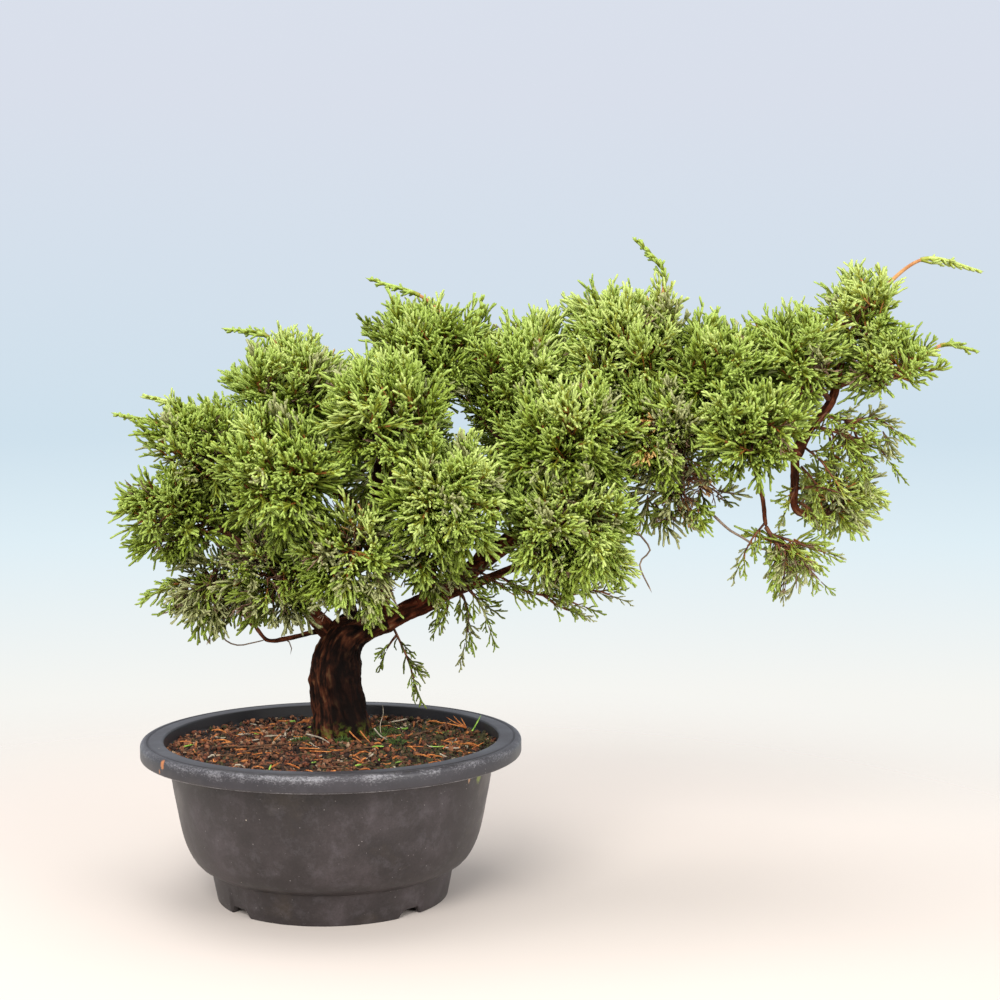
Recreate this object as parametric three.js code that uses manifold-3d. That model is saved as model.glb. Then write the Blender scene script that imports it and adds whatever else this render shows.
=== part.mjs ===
// An itoigawa juniper bonsai standing in its round training pot.
// Millimetres, +Z up. The origin is the middle of the pot's underside and the plant's front faces -Y.

import * as THREE from 'three';
import { mergeVertices } from 'three/addons/utils/BufferGeometryUtils.js';
import Module from 'manifold-3d';

const wasm = await Module();
wasm.setup();

const CLEARANCE = 0.3; // left between any two solids that meet
const GOLDEN_ANGLE = Math.PI * (3 - Math.sqrt(5));

// The pot: a turned bowl on a foot ring, with a wide flat rim.
const POT = {
  sides: 32, steps: 4,
  wall: 3,
  rimRadius: 120, rimTop: 101.5, rimWidth: 14.5, lipHeight: 10.5, lipRound: 2, lipChamfer: 1.5,
  grooveRadius: 115.5, grooveWidth: 1.8, grooveDepth: 1.2,
  ledge: [105, 94], neckRadius: 103, shoulder: [98.5, 64], belly: [92.4, 37], heel: [85.5, 25],
  waist: [77.7, 20], waistRound: 0.8,
  footRadius: 73, footInner: 69.5, floorUnder: 5, floorTop: 8, padRadius: 20,
};
const NOTCH = { count: 4, firstAngle: 45, width: 18, height: 4.5, slopes: [1, 4], overrun: [4, 12] };
const DRAIN = { count: 6, radius: 5.5, sides: 8, ring: 44 };

// The soil fills the pot to 8 mm under its rim and rises a little to its middle, with shallow dips in rows
// across and away that fade out towards the trunk and the pot's wall.
const SOIL = {
  edge: [103.9, 93.6], top: 95, patchRadius: 60, rings: [92, 68, 44, 20],
  dip: 1.9, spans: [46, 42], starts: [1, 2], clearOf: [3.5, 30], clearFrom: 26, clearTo: 38,
};

// The trunk's centre line from the flat cut at ground level to its fork, with its half-width at each point.
const TRUNK = {
  sides: 12, rings: 13, flareLobes: 5, flareDepth: 0.11, flareHeight: 0.16, fluteDepth: 0.045,
  path: [
    [3.5, 30, SOIL.top + CLEARANCE], [2, 28.5, 113], [0, 27, 135], [2, 25.5, 151],
    [9, 23.5, 163], [20, 21, 168.5], [36, 17, 172.5],
  ],
  radii: [18.6, 17.2, 16.6, 16.2, 13.6, 10, 7],
};

const LIMB = {
  sides: 6, ringSpacing: 14, fewestRings: 3,
  samples: 24, berth: [1.12, 1.2], // a spray stays this many half-widths, and mm more, from a limb's line
};

// Each limb leaves its carrier at a share of that carrier's length, passes its bends and ends at its tip,
// tapering from its first half-width to its last.
const LIMBS = [
  { name: 'arm_limb', from: ['trunk', 0.97], radii: [6.9, 5.2], sides: 8,
    bends: [[50, 14, 180.5], [64, 11, 187], [100, 13, 215], [150, 14, 250]], tip: [198, 10, 280] },
  { name: 'arm_outer_limb', from: ['arm_limb', 0.985], radii: [5.1, 4.7], sides: 8,
    bends: [[238, 6, 287]], tip: [296, 0, 279] },
  { name: 'tip_limb', from: ['arm_outer_limb', 0.97], radii: [4, 2.4],
    bends: [[300, 0, 295], [314, 1, 312]], tip: [321, 2, 338] },
  { name: 'crown_limb', from: ['trunk', 0.93], radii: [5, 3],
    bends: [[32, 14, 200], [28, 11, 240]], tip: [31, 11, 292] },
  { name: 'left_limb', from: ['trunk', 0.6], radii: [6.6, 3],
    bends: [[-16, 25.5, 177], [-32, 22, 198]], tip: [-58, 15, 222] },
  { name: 'left_twig_limb', from: ['left_limb', 0.16], radii: [1.9, 1.3],
    bends: [[-33, 26, 159], [-44, 24, 158.5]], tip: [-52, 21, 168] },
  { name: 'left_high_limb', from: ['crown_limb', 0.5], radii: [3.6, 2.2],
    bends: [[2, 7, 256]], tip: [-40, 2, 272] },
  { name: 'low_limb', from: ['arm_limb', 0.17], radii: [4, 2.4],
    bends: [[84, 5, 195], [103, 0, 203]], tip: [125, -6, 213] },
  { name: 'mid_limb', from: ['arm_limb', 0.38], radii: [4.4, 2.6],
    bends: [[104, 12, 255]], tip: [108, 10, 300] },
  { name: 'front_limb', from: ['arm_limb', 0.13], radii: [3.6, 2.4],
    bends: [[64, -14, 208]], tip: [70, -36, 230] },
  { name: 'right_crown_limb', from: ['arm_limb', 0.99], radii: [4, 2.6],
    bends: [[211, 10, 298]], tip: [198, 8, 318] },
  { name: 'back_left_limb', from: ['trunk', 0.75], radii: [4.4, 2.6],
    bends: [[2, 46, 196]], tip: [-22, 60, 222] },
  { name: 'back_limb', from: ['crown_limb', 0.4], radii: [3.4, 2.4],
    bends: [[34, 38, 244]], tip: [38, 58, 258] },
  { name: 'back_right_limb', from: ['arm_limb', 0.5], radii: [3.6, 2.4],
    bends: [[124, 38, 240]], tip: [131, 50, 252] },
  { name: 'arm_back_limb', from: ['arm_outer_limb', 0.72], radii: [3, 2],
    bends: [[274, 22, 292]], tip: [278, 34, 299] },
  { name: 'hook_limb', from: ['arm_outer_limb', 0.96], radii: [3.4, 2],
    bends: [[292, 0, 262], [293, 0, 245]], tip: [311, 2, 239] },
  { name: 'low_twig_limb', from: ['arm_outer_limb', 0.66], radii: [1.8, 1.3],
    bends: [[271, 0, 256]], tip: [274, 0, 234] },
];

// Each mass of foliage: its middle, its half-extents, the limb and share it grows from, the size of its core
// as a share of its reach (0 is an open mass), the routes of the long shoots that stand out of it, and its
// own seed where it has one.
const MASSES = [
  { name: 'far_left_mass', at: [-97, 5, 242], reach: [42, 46, 35], from: ['left_limb', 1] },
  { name: 'far_left_high_mass', at: [-77, -5, 281], reach: [42, 46, 34], from: ['left_high_limb', 1],
    shoots: [
      [[-94, -5, 288], [-106, -5, 298], [-137, -5, 306]],
      [[-86, -5, 298], [-97, -5, 311], [-119, -5, 316]],
    ] },
  { name: 'low_left_mass', at: [-76, 12, 196], reach: [42, 42, 32], from: ['left_twig_limb', 1] },
  { name: 'low_front_mass', at: [-33, -10, 204], reach: [40, 40, 42], from: ['left_limb', 0.75] },
  { name: 'left_crown_mass', at: [-25, 10, 315], reach: [50, 56, 39], from: ['left_high_limb', 0.85],
    shoots: [[[-26, 10, 338], [-41, 10, 354], [-70, 10, 359]]] },
  { name: 'front_left_mass', at: [-24, -42, 269], reach: [46, 46, 42], from: ['left_high_limb', 0.6] },
  { name: 'skirt_mass', at: [16, -44, 218], reach: [38, 38, 42], from: ['crown_limb', 0.22] },
  { name: 'front_high_mass', at: [40, -40, 300], reach: [48, 42, 42], from: ['crown_limb', 0.85] },
  { name: 'top_crown_mass', at: [64, 15, 340], reach: [52, 56, 38], from: ['crown_limb', 1],
    shoots: [
      [[72, 15, 360], [60, 15, 377], [21, 15, 391]],
      [[84, 10, 352], [93, 10, 366], [95, 10, 381]],
    ] },
  { name: 'mid_crown_mass', at: [122, 10, 322], reach: [50, 56, 46], from: ['mid_limb', 1], seed: 50 },
  { name: 'right_crown_mass', at: [187, 5, 340], reach: [54, 56, 50], from: ['right_crown_limb', 1],
    shoots: [[[203, 5, 365], [209, 5, 394], [189, 5, 416]]] },
  { name: 'inner_low_mass', at: [60, -20, 213], reach: [32, 36, 24], from: ['front_limb', 0.45] },
  { name: 'front_centre_mass', at: [76, -52, 254], reach: [46, 46, 42], from: ['front_limb', 1] },
  { name: 'front_right_mass', at: [145, -30, 234], reach: [53, 50, 45], from: ['low_limb', 1] },
  { name: 'front_right_high_mass', at: [147, -36, 290], reach: [54, 44, 40], from: ['arm_limb', 0.75] },
  { name: 'back_left_mass', at: [-48, 68, 248], reach: [50, 50, 50], from: ['back_left_limb', 1] },
  { name: 'back_centre_mass', at: [42, 85, 275], reach: [54, 50, 54], from: ['back_limb', 1] },
  { name: 'back_right_mass', at: [137, 70, 270], reach: [52, 48, 52], from: ['back_right_limb', 1] },
  { name: 'arm_inner_mass', at: [205, -16, 293], reach: [42, 42, 38], from: ['arm_outer_limb', 0.12] },
  { name: 'arm_top_mass', at: [243, -5, 330], reach: [44, 46, 35], from: ['arm_outer_limb', 0.45] },
  { name: 'arm_front_mass', at: [259, -38, 295], reach: [41, 36, 32], from: ['arm_outer_limb', 0.6] },
  { name: 'arm_under_mass', at: [219, 10, 258], reach: [46, 44, 36],
    from: ['arm_outer_limb', 0.25], core: 0.4 },
  { name: 'arm_crown_mass', at: [292, 0, 335], reach: [42, 48, 35], from: ['tip_limb', 0.6] },
  { name: 'arm_back_mass', at: [281, 58, 312], reach: [50, 40, 36], from: ['arm_back_limb', 1] },
  { name: 'tip_high_mass', at: [334, 5, 366], reach: [31, 38, 33], from: ['tip_limb', 1],
    shoots: [[[344, 5, 380], [372, 5, 402], [410, 5, 394]]] },
  { name: 'tip_mass', at: [352, -5, 333], reach: [33, 42, 25], from: ['tip_limb', 0.75],
    shoots: [[[362, -5, 334], [382, -5, 348], [406, -5, 344]]] },
  { name: 'sparse_mass', at: [330, -8, 289], reach: [27, 30, 29], from: ['tip_limb', 0.3], core: 0 },
  { name: 'hang_mass', at: [320, 15, 253], reach: [30, 38, 26], from: ['hook_limb', 1] },
  { name: 'low_mass', at: [286, -5, 215], reach: [30, 35, 24], from: ['low_twig_limb', 1], core: 0.4 },
  { name: 'under_spray', at: [47, 12, 148], reach: [14, 14, 24], from: ['arm_limb', 0.03], core: 0 },
  { name: 'under_tuft', at: [86, 12, 170], reach: [22, 20, 23], from: ['arm_limb', 0.14], core: 0 },
  { name: 'under_sprig', at: [153, -12, 190], reach: [30, 15, 15], from: ['low_limb', 0.55], core: 0 },
];

// How a mass grows: shares of its room, angles in radians, and sizes in mm.
const GROWTH = {
  core: 0.5, tooth: 1.6, coreLump: 0.16, // a core's share of the room, its teeth's reach to it, and unevenness
  tuftArea: 2400, fewestTufts: 7, fewestStalks: 5, // mm2 of a mass's surface for each tuft
  tuftShade: 0.5, // two tufts, or a tuft and a tooth, are no nearer than this
  bareFaces: 0.12, // the share of the core's other faces that have no tooth
  shortest: 0.62, // the least share of its full reach that a tuft may have
  full: 0.97, // how much of the way to its walls a mass fills
  sizes: [1, 0.9, 0.8, 0.7], // tried in turn until a tuft fits
  stemRadius: 2.6, stemPast: 8, // the stem runs this far past the middle
};
const SHOOT = {
  radius: 1.9, taper: 0.2,
  cordsAt: [0.3, 0.7], cordRadius: 1.4, cordForward: 8, cordOut: [5, 8], cordSink: 0.06,
};
const TUFT = {
  teeth: 4, stalk: 2.2, opening: 0.05, stalkShare: 0.5, // where a tuft opens on a core, and on a stalk
  leans: [0.95, 0.36], reaches: [0.8, 1], valleyLean: 0.8, valley: 0.34, crest: 0.3,
};

// A repeatable stream of numbers from 0 to 1.
function seeded(seed) {
  let state = seed >>> 0;
  return () => {
    state = (state + 0x6d2b79f5) >>> 0;
    let mixed = Math.imul(state ^ (state >>> 15), state | 1);
    mixed ^= mixed + Math.imul(mixed ^ (mixed >>> 7), mixed | 61);
    return ((mixed ^ (mixed >>> 14)) >>> 0) / 4294967296;
  };
}

const vector = ([x, y, z]) => new THREE.Vector3(x, y, z);
const mix = THREE.MathUtils.lerp;

// A closed geometry as a solid that can be joined and cut, turned to face out.
function toSolid(geometry) {
  const bare = geometry.clone();
  bare.deleteAttribute('normal');
  bare.deleteAttribute('uv');
  const merged = mergeVertices(bare, 1e-4);
  const points = merged.attributes.position.array;
  const corners = merged.index.array;
  const triangles = [];
  let volume = 0;
  for (let i = 0; i < corners.length; i += 3) {
    const [a, b, c] = [corners[i], corners[i + 1], corners[i + 2]];
    if (a === b || b === c || c === a) continue;
    triangles.push(a, b, c);
    const [pa, pb, pc] = [a, b, c].map((k) => new THREE.Vector3().fromArray(points, 3 * k));
    volume += pa.dot(pb.cross(pc)) / 6;
  }
  if (volume < 0) {
    for (let i = 0; i < triangles.length; i += 3) {
      [triangles[i + 1], triangles[i + 2]] = [triangles[i + 2], triangles[i + 1]];
    }
  }
  const mesh = { numProp: 3, vertProperties: new Float32Array(points), triVerts: new Uint32Array(triangles) };
  return new wasm.Manifold(new wasm.Mesh(mesh));
}

// The largest body of a solid, without loose scraps or sealed hollows.
function largestBody(solid) {
  return solid.decompose().reduce((best, body) => (body.volume() > best.volume() ? body : best));
}

function toGeometry(solid) {
  const { vertProperties, triVerts } = solid.getMesh();
  const geometry = new THREE.BufferGeometry();
  geometry.setAttribute('position', new THREE.BufferAttribute(new Float32Array(vertProperties), 3));
  geometry.setIndex(new THREE.BufferAttribute(new Uint32Array(triVerts), 1));
  geometry.computeVertexNormals();
  return geometry;
}

function meshOf(points, index) {
  const geometry = new THREE.BufferGeometry().setFromPoints(points);
  geometry.setIndex(index);
  return geometry;
}

// A geometry from rings of equal counts of points, closed by a fan at each end; a ring of one point is a tip.
function ringGeometry(rings) {
  const index = [];
  const starts = [];
  rings.reduce((start, ring) => (starts.push(start), start + ring.length), 0);
  for (let i = 0; i + 1 < rings.length; i++) {
    const [n, m] = [rings[i].length, rings[i + 1].length];
    for (let k = 0; k < n; k++) {
      const [a, b] = [starts[i] + k, starts[i] + ((k + 1) % n)];
      const [c, d] = [starts[i + 1] + ((k + 1) % n), starts[i + 1] + k];
      if (m === 1) index.push(a, b, starts[i + 1]);
      else index.push(a, b, c, a, c, d);
    }
  }
  for (let k = 1; k + 1 < rings[0].length; k++) index.push(starts[0], starts[0] + k + 1, starts[0] + k);
  const [last, size] = [starts[rings.length - 1], rings[rings.length - 1].length];
  for (let k = 1; k + 1 < size; k++) index.push(last, last + k, last + k + 1);
  return meshOf(rings.flat(), index);
}

// Two unit vectors square to a direction, turned by a roll.
function squareTo(direction, roll) {
  const helper = Math.abs(direction.z) < 0.9 ? new THREE.Vector3(0, 0, 1) : new THREE.Vector3(1, 0, 0);
  const u = new THREE.Vector3().crossVectors(direction, helper).normalize().applyAxisAngle(direction, roll);
  return [u, new THREE.Vector3().crossVectors(direction, u)];
}

// A three-sided tapering twig or cord of foliage through a few points, ending in a point.
function cord(points, radii, roll) {
  const direction = points[points.length - 1].clone().sub(points[0]).normalize();
  const [u, v] = squareTo(direction, roll);
  const rings = points.map((point, i) => {
    if (i === points.length - 1) return [point];
    return [0, 1, 2].map((k) => {
      const angle = (2 * Math.PI * k) / 3;
      return point.clone()
        .addScaledVector(u, radii[i] * Math.cos(angle))
        .addScaledVector(v, radii[i] * Math.sin(angle));
    });
  });
  return { points: rings.flat(), geometry: ringGeometry(rings) };
}

// Trunk and limbs.

// A tapering round limb along a smooth line, cut flat at a ground level where it stands on one. grow widens
// and lengthens it, for cutting what meets it.
class Limb {
  constructor({ name, points, radii, sides = LIMB.sides, rings, section = () => 1, ground }) {
    Object.assign(this, { name, radii, sides, section, ground });
    this.curve = new THREE.CatmullRomCurve3(points, false, 'centripetal');
    this.rings = rings ?? Math.max(LIMB.fewestRings, Math.round(this.curve.getLength() / LIMB.ringSpacing));
    this.samples = Array.from({ length: LIMB.samples + 1 }, (_, i) => {
      const share = i / LIMB.samples;
      return { at: this.curve.getPointAt(share), radius: this.radiusAt(share) };
    });
  }

  radiusAt(share) {
    const place = share * (this.radii.length - 1);
    const i = Math.min(Math.floor(place), this.radii.length - 2);
    return mix(this.radii[i], this.radii[i + 1], place - i);
  }

  solid(grow = 0) {
    const frames = this.curve.computeFrenetFrames(this.rings, false);
    const widen = grow / Math.cos(Math.PI / this.sides);
    const rings = [];
    for (let i = 0; i <= this.rings; i++) {
      const share = i / this.rings;
      const centre = this.curve.getPointAt(share);
      if (i === 0) centre.addScaledVector(frames.tangents[i], -grow);
      if (i === this.rings) centre.addScaledVector(frames.tangents[i], grow);
      rings.push(Array.from({ length: this.sides }, (_, k) => {
        const angle = (2 * Math.PI * k) / this.sides;
        const radius = this.radiusAt(share) * this.section(share, angle) + widen;
        return centre.clone()
          .addScaledVector(frames.normals[i], radius * Math.cos(angle))
          .addScaledVector(frames.binormals[i], radius * Math.sin(angle));
      }));
    }
    if (this.ground !== undefined) rings[0].forEach((point) => point.setZ(this.ground - grow));
    return toSolid(ringGeometry(rings));
  }
}

// Root lobes that fade a little above the ground, then shallow twisting flutes.
function trunkSection(share, angle) {
  const flare = Math.max(0, 1 - share / TRUNK.flareHeight);
  const lobes = TRUNK.flareDepth * flare * (0.6 + Math.cos(TRUNK.flareLobes * angle));
  return 1 + lobes + TRUNK.fluteDepth * Math.cos(3 * angle + 4 * share);
}

function buildLimbs() {
  const trunk = new Limb({
    name: 'trunk', points: TRUNK.path.map(vector), radii: TRUNK.radii, sides: TRUNK.sides, rings: TRUNK.rings,
    section: trunkSection, ground: SOIL.top + CLEARANCE,
  });
  const limbs = new Map([['trunk', trunk]]);
  for (const { name, from: [carrier, share], bends, tip, radii, sides } of LIMBS) {
    const start = limbs.get(carrier).curve.getPointAt(share);
    limbs.set(name, new Limb({ name, points: [start, ...bends.map(vector), vector(tip)], radii, sides }));
  }
  const solids = new Map();
  for (const limb of limbs.values()) {
    let solid = limb.solid();
    for (const earlier of [...limbs.values()].slice(0, solids.size)) {
      solid = solid.subtract(earlier.solid(CLEARANCE));
    }
    solids.set(limb.name, largestBody(solid));
  }
  return { limbs, solids };
}

// Masses of foliage.

// The room that a mass may fill: its ellipsoid, on its own side of a plane between it and each other mass.
class Room {
  constructor(mass, masses) {
    this.centre = vector(mass.at);
    this.reach = vector(mass.reach);
    this.walls = masses.filter((other) => other !== mass).map((other) => {
      const between = vector(other.at).sub(this.centre);
      const otherReach = vector(other.reach);
      const spread = this.reach.clone().multiply(this.reach).add(otherReach.clone().multiply(otherReach));
      const normal = between.clone().divide(spread).normalize();
      const [mine, theirs] = [this.reach, otherReach].map((reach) => reach.clone().multiply(normal).length());
      const distance = (between.dot(normal) * mine) / (mine + theirs) - CLEARANCE / 2;
      return { normal, distance };
    });
  }

  // The furthest that a point may go from the middle along a direction, between the walls.
  extent(direction) {
    return this.walls.reduce((most, { normal, distance }) => {
      const along = direction.dot(normal);
      return along > 1e-6 ? Math.min(most, distance / along) : most;
    }, Infinity);
  }

  // How far a direction's point on the ellipsoid lies from the middle.
  surface(direction) {
    return 1 / direction.clone().divide(this.reach).length();
  }

  holds(point) {
    const offset = point.clone().sub(this.centre);
    return this.walls.every(({ normal, distance }) => offset.dot(normal) < distance);
  }
}

// Whether a twig or spray lies inside its room and clear of every limb.
function fits({ points }, room, limbs) {
  if (!points.every((point) => room.holds(point))) return false;
  const line = new THREE.Line3();
  const nearest = new THREE.Vector3();
  for (const limb of limbs.values()) {
    for (const { at, radius } of limb.samples) {
      for (let i = 0; i < points.length; i++) {
        line.set(points[i], points[(i + 1) % points.length]);
        line.closestPointToPoint(at, true, nearest);
        if (nearest.distanceTo(at) < LIMB.berth[0] * radius + LIMB.berth[1]) return false;
      }
    }
  }
  return true;
}

// A spray of foliage is a tuft of teeth that lean out by turns much and little. This gives its free points:
// a ring of tips and valleys round its direction, and the crest between them.
function tuftPoints(origin, direction, u, length, opening, random) {
  const v = new THREE.Vector3().crossVectors(direction, u);
  const at = (turn, lean, reach) => origin.clone()
    .addScaledVector(direction, length * (opening + reach * Math.cos(lean)))
    .addScaledVector(u, length * reach * Math.sin(lean) * Math.cos(turn))
    .addScaledVector(v, length * reach * Math.sin(lean) * Math.sin(turn));
  const points = [];
  for (let i = 0; i < TUFT.teeth; i++) {
    const turn = (2 * Math.PI * (i + 0.3 * random())) / TUFT.teeth;
    points.push(at(turn, TUFT.leans[i % 2], mix(0.85, 1, random()) * TUFT.reaches[i % 2] * (1 - opening)));
    points.push(at(turn + Math.PI / TUFT.teeth, TUFT.valleyLean, TUFT.valley * (1 - opening)));
  }
  return [...points, at(0, 0, TUFT.crest * (1 - opening))];
}

// The faces that join a tuft's points, numbered from first, to the three feet that it stands on.
function tuftFaces(first, feet) {
  const count = 2 * TUFT.teeth;
  const footOf = (k) => feet[Math.floor((3 * (k % count)) / count)];
  const index = [];
  for (let k = 0; k < count; k++) {
    const [here, next] = [first + k, first + ((k + 1) % count)];
    index.push(here, next, first + count, next, here, footOf(k));
    if (footOf(k + 1) !== footOf(k)) index.push(next, footOf(k), footOf(k + 1));
  }
  return index;
}

// Directions spread evenly over a mass's ellipsoid.
function spreadDirections({ reach }, area, fewest, random) {
  const { x, y, z } = reach;
  const count = Math.max(fewest, Math.round((4 * Math.PI * (x * y + y * z + z * x)) / 3 / area));
  return Array.from({ length: count }, (_, i) => {
    const height = 1 - (2 * (i + 0.5)) / count;
    const turn = i * GOLDEN_ANGLE + 0.6 * random();
    const ring = Math.sqrt(1 - height * height);
    return new THREE.Vector3(ring * Math.cos(turn) * x, ring * Math.sin(turn) * y, height * z).normalize();
  });
}

// The first of some sizes of tuft, full size first, that fits; none where it would be too short.
function fittingTuft(room, limbs, direction, origin, u, opening, random) {
  const wanted = room.surface(direction) * mix(0.96, 1.08, random());
  const most = Math.min(wanted, GROWTH.full * room.extent(direction));
  if (most < GROWTH.shortest * wanted) return null;
  const inner = origin.distanceTo(room.centre);
  return GROWTH.sizes
    .map((size) => tuftPoints(origin, direction, u, size * most - inner, opening, random))
    .find((points) => fits({ points: [...points, origin] }, room, limbs));
}

// A unit ball of 80 faces as its corners and its faces' corner numbers.
function unitBall() {
  const bare = new THREE.IcosahedronGeometry(1, 1).deleteAttribute('normal').deleteAttribute('uv');
  const { attributes: { position }, index } = mergeVertices(bare);
  const corners = Array.from({ length: position.count },
    (_, i) => new THREE.Vector3().fromBufferAttribute(position, i).normalize());
  const triples = Array.from({ length: index.count / 3 },
    (_, i) => [0, 1, 2].map((k) => index.getX(3 * i + k)));
  return { corners, triples };
}

// A lumpy ball round the middle, drawn in wherever it would leave the room, with tufts grown from some of its
// faces and a short tooth on each other face that no tuft shades.
function coreSolid(room, share, limbs, random) {
  const { corners, triples } = unitBall();
  const place = (direction, wanted) => {
    const length = Math.min(wanted * room.surface(direction), GROWTH.full * room.extent(direction));
    return direction.clone().multiplyScalar(length).add(room.centre);
  };
  const uneven = () => mix(1 - GROWTH.coreLump, 1 + GROWTH.coreLump, random());
  const points = corners.map((corner) => place(corner, share * uneven()));
  const faces = triples.map((feet) => {
    const origin = feet.reduce((sum, foot) => sum.addScaledVector(points[foot], 1 / 3), new THREE.Vector3());
    return { feet, origin, direction: origin.clone().sub(room.centre).normalize() };
  });
  const pieces = [meshOf(points, triples.flat())];
  const tufted = [];
  for (const wanted of spreadDirections(room, GROWTH.tuftArea, GROWTH.fewestTufts, random)) {
    const face = faces.reduce((best, other) => (
      other.direction.angleTo(wanted) < best.direction.angleTo(wanted) ? other : best));
    const { feet, origin, direction } = face;
    if (tufted.some((other) => other.direction.angleTo(direction) < GROWTH.tuftShade)) continue;
    const u = points[feet[0]].clone().sub(origin).projectOnPlane(direction).normalize()
      .applyAxisAngle(direction, -Math.PI / 3);
    const crown = fittingTuft(room, limbs, direction, origin, u, TUFT.opening, random);
    if (!crown) continue;
    pieces.push(meshOf([...feet.map((foot) => points[foot]), ...crown], [0, 2, 1, ...tuftFaces(3, [0, 1, 2])]));
    tufted.push(face);
  }
  for (const face of faces) {
    const { feet, direction } = face;
    const shaded = tufted.some((other) => other.direction.angleTo(direction) < GROWTH.tuftShade);
    if (shaded || random() < GROWTH.bareFaces) continue;
    const base = feet.map((foot) => points[foot]);
    const tip = place(direction, share * GROWTH.tooth * uneven());
    pieces.push(meshOf([...base, tip], [0, 2, 1, 0, 1, 3, 1, 2, 3, 2, 0, 3]));
  }
  return wasm.Manifold.union(pieces.map(toSolid));
}

// A tuft of an open mass, on a three-sided stalk from the middle.
function stalkedTuft(room, limbs, direction, random) {
  const [u, v] = squareTo(direction, random() * 2 * Math.PI);
  const crown = fittingTuft(room, limbs, direction, room.centre, u, TUFT.stalkShare, random);
  if (!crown) return null;
  const stalk = [0, 1, 2].map((k) => room.centre.clone()
    .addScaledVector(u, TUFT.stalk * Math.cos((2 * Math.PI * (k + 0.5)) / 3))
    .addScaledVector(v, TUFT.stalk * Math.sin((2 * Math.PI * (k + 0.5)) / 3)));
  const index = [0, 2, 1, ...tuftFaces(3, [0, 1, 2])];
  return { geometry: meshOf([...stalk, ...crown], index) };
}

// A long shoot: a stem bent along its route, with shorter cords leaning out of its outer stretches.
function shoot(centre, route, random) {
  const points = [centre.clone().lerp(route[0], 0.3), ...route];
  const stem = cord(points, points.map((_, i) => SHOOT.radius * (1 - SHOOT.taper * i)), 0);
  const cords = [];
  for (let i = 1; i + 1 < points.length; i++) {
    const direction = points[i + 1].clone().sub(points[i]).normalize();
    for (const share of SHOOT.cordsAt) {
      const [out] = squareTo(direction, (2 * i + 3 * share) * GOLDEN_ANGLE);
      const at = points[i].clone().lerp(points[i + 1], share);
      const end = at.clone().addScaledVector(direction, SHOOT.cordForward)
        .addScaledVector(out, mix(...SHOOT.cordOut, random()));
      cords.push(cord([at.clone().lerp(end, -SHOOT.cordSink), end], [SHOOT.cordRadius], random()));
    }
  }
  return [stem, ...cords];
}

// The stem's first point, just clear of the limb that carries it.
function stemStart(limb, share, target) {
  const tangent = limb.curve.getTangentAt(share);
  const start = limb.curve.getPointAt(share);
  if (share === 1) return start.addScaledVector(tangent, CLEARANCE);
  const out = target.clone().sub(start).projectOnPlane(tangent).normalize();
  return start.addScaledVector(out, limb.radiusAt(share) + CLEARANCE);
}

function massSolid(mass, number, masses, limbs) {
  const random = seeded(mass.seed ?? number + 1);
  const room = new Room(mass, masses);
  const core = mass.core ?? GROWTH.core;
  const start = stemStart(limbs.get(mass.from[0]), mass.from[1], room.centre);
  const away = start.clone().sub(room.centre).normalize();
  const stemEnd = room.centre.clone().addScaledVector(away, -GROWTH.stemPast);
  const stemRadii = [GROWTH.stemRadius, GROWTH.stemRadius];
  const stem = cord([start, room.centre.clone().lerp(start, 0.4), stemEnd], stemRadii, 0);
  let body = toSolid(stem.geometry);
  if (core > 0) body = body.add(coreSolid(room, core, limbs, random));
  for (const limb of limbs.values()) body = body.subtract(limb.solid(CLEARANCE));
  body = largestBody(body);
  const pieces = [];
  if (core === 0) {
    const directions = spreadDirections(room, GROWTH.tuftArea, GROWTH.fewestStalks, random);
    const tufts = directions.map((direction) => stalkedTuft(room, limbs, direction, random));
    pieces.push(...tufts.filter(Boolean));
  }
  for (const route of mass.shoots ?? []) {
    pieces.push(...shoot(room.centre, route.map(vector), random).filter((piece) => fits(piece, room, limbs)));
  }
  for (const piece of pieces) body = body.add(toSolid(piece.geometry));
  return largestBody(body);
}

// Pot and soil.

// The outside of the bowl above the foot, from the waist up to the neck.
function bowlLine() {
  const { waist, heel, belly, shoulder, neckRadius, rimTop, lipHeight } = POT;
  const places = [waist, heel, belly, shoulder, [neckRadius, rimTop - lipHeight]];
  return new THREE.SplineCurve(places.map(([r, z]) => new THREE.Vector2(r, z))).getPoints(POT.steps);
}

function turned(profile) {
  return new THREE.LatheGeometry(profile, POT.sides).rotateX(Math.PI / 2);
}

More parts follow.
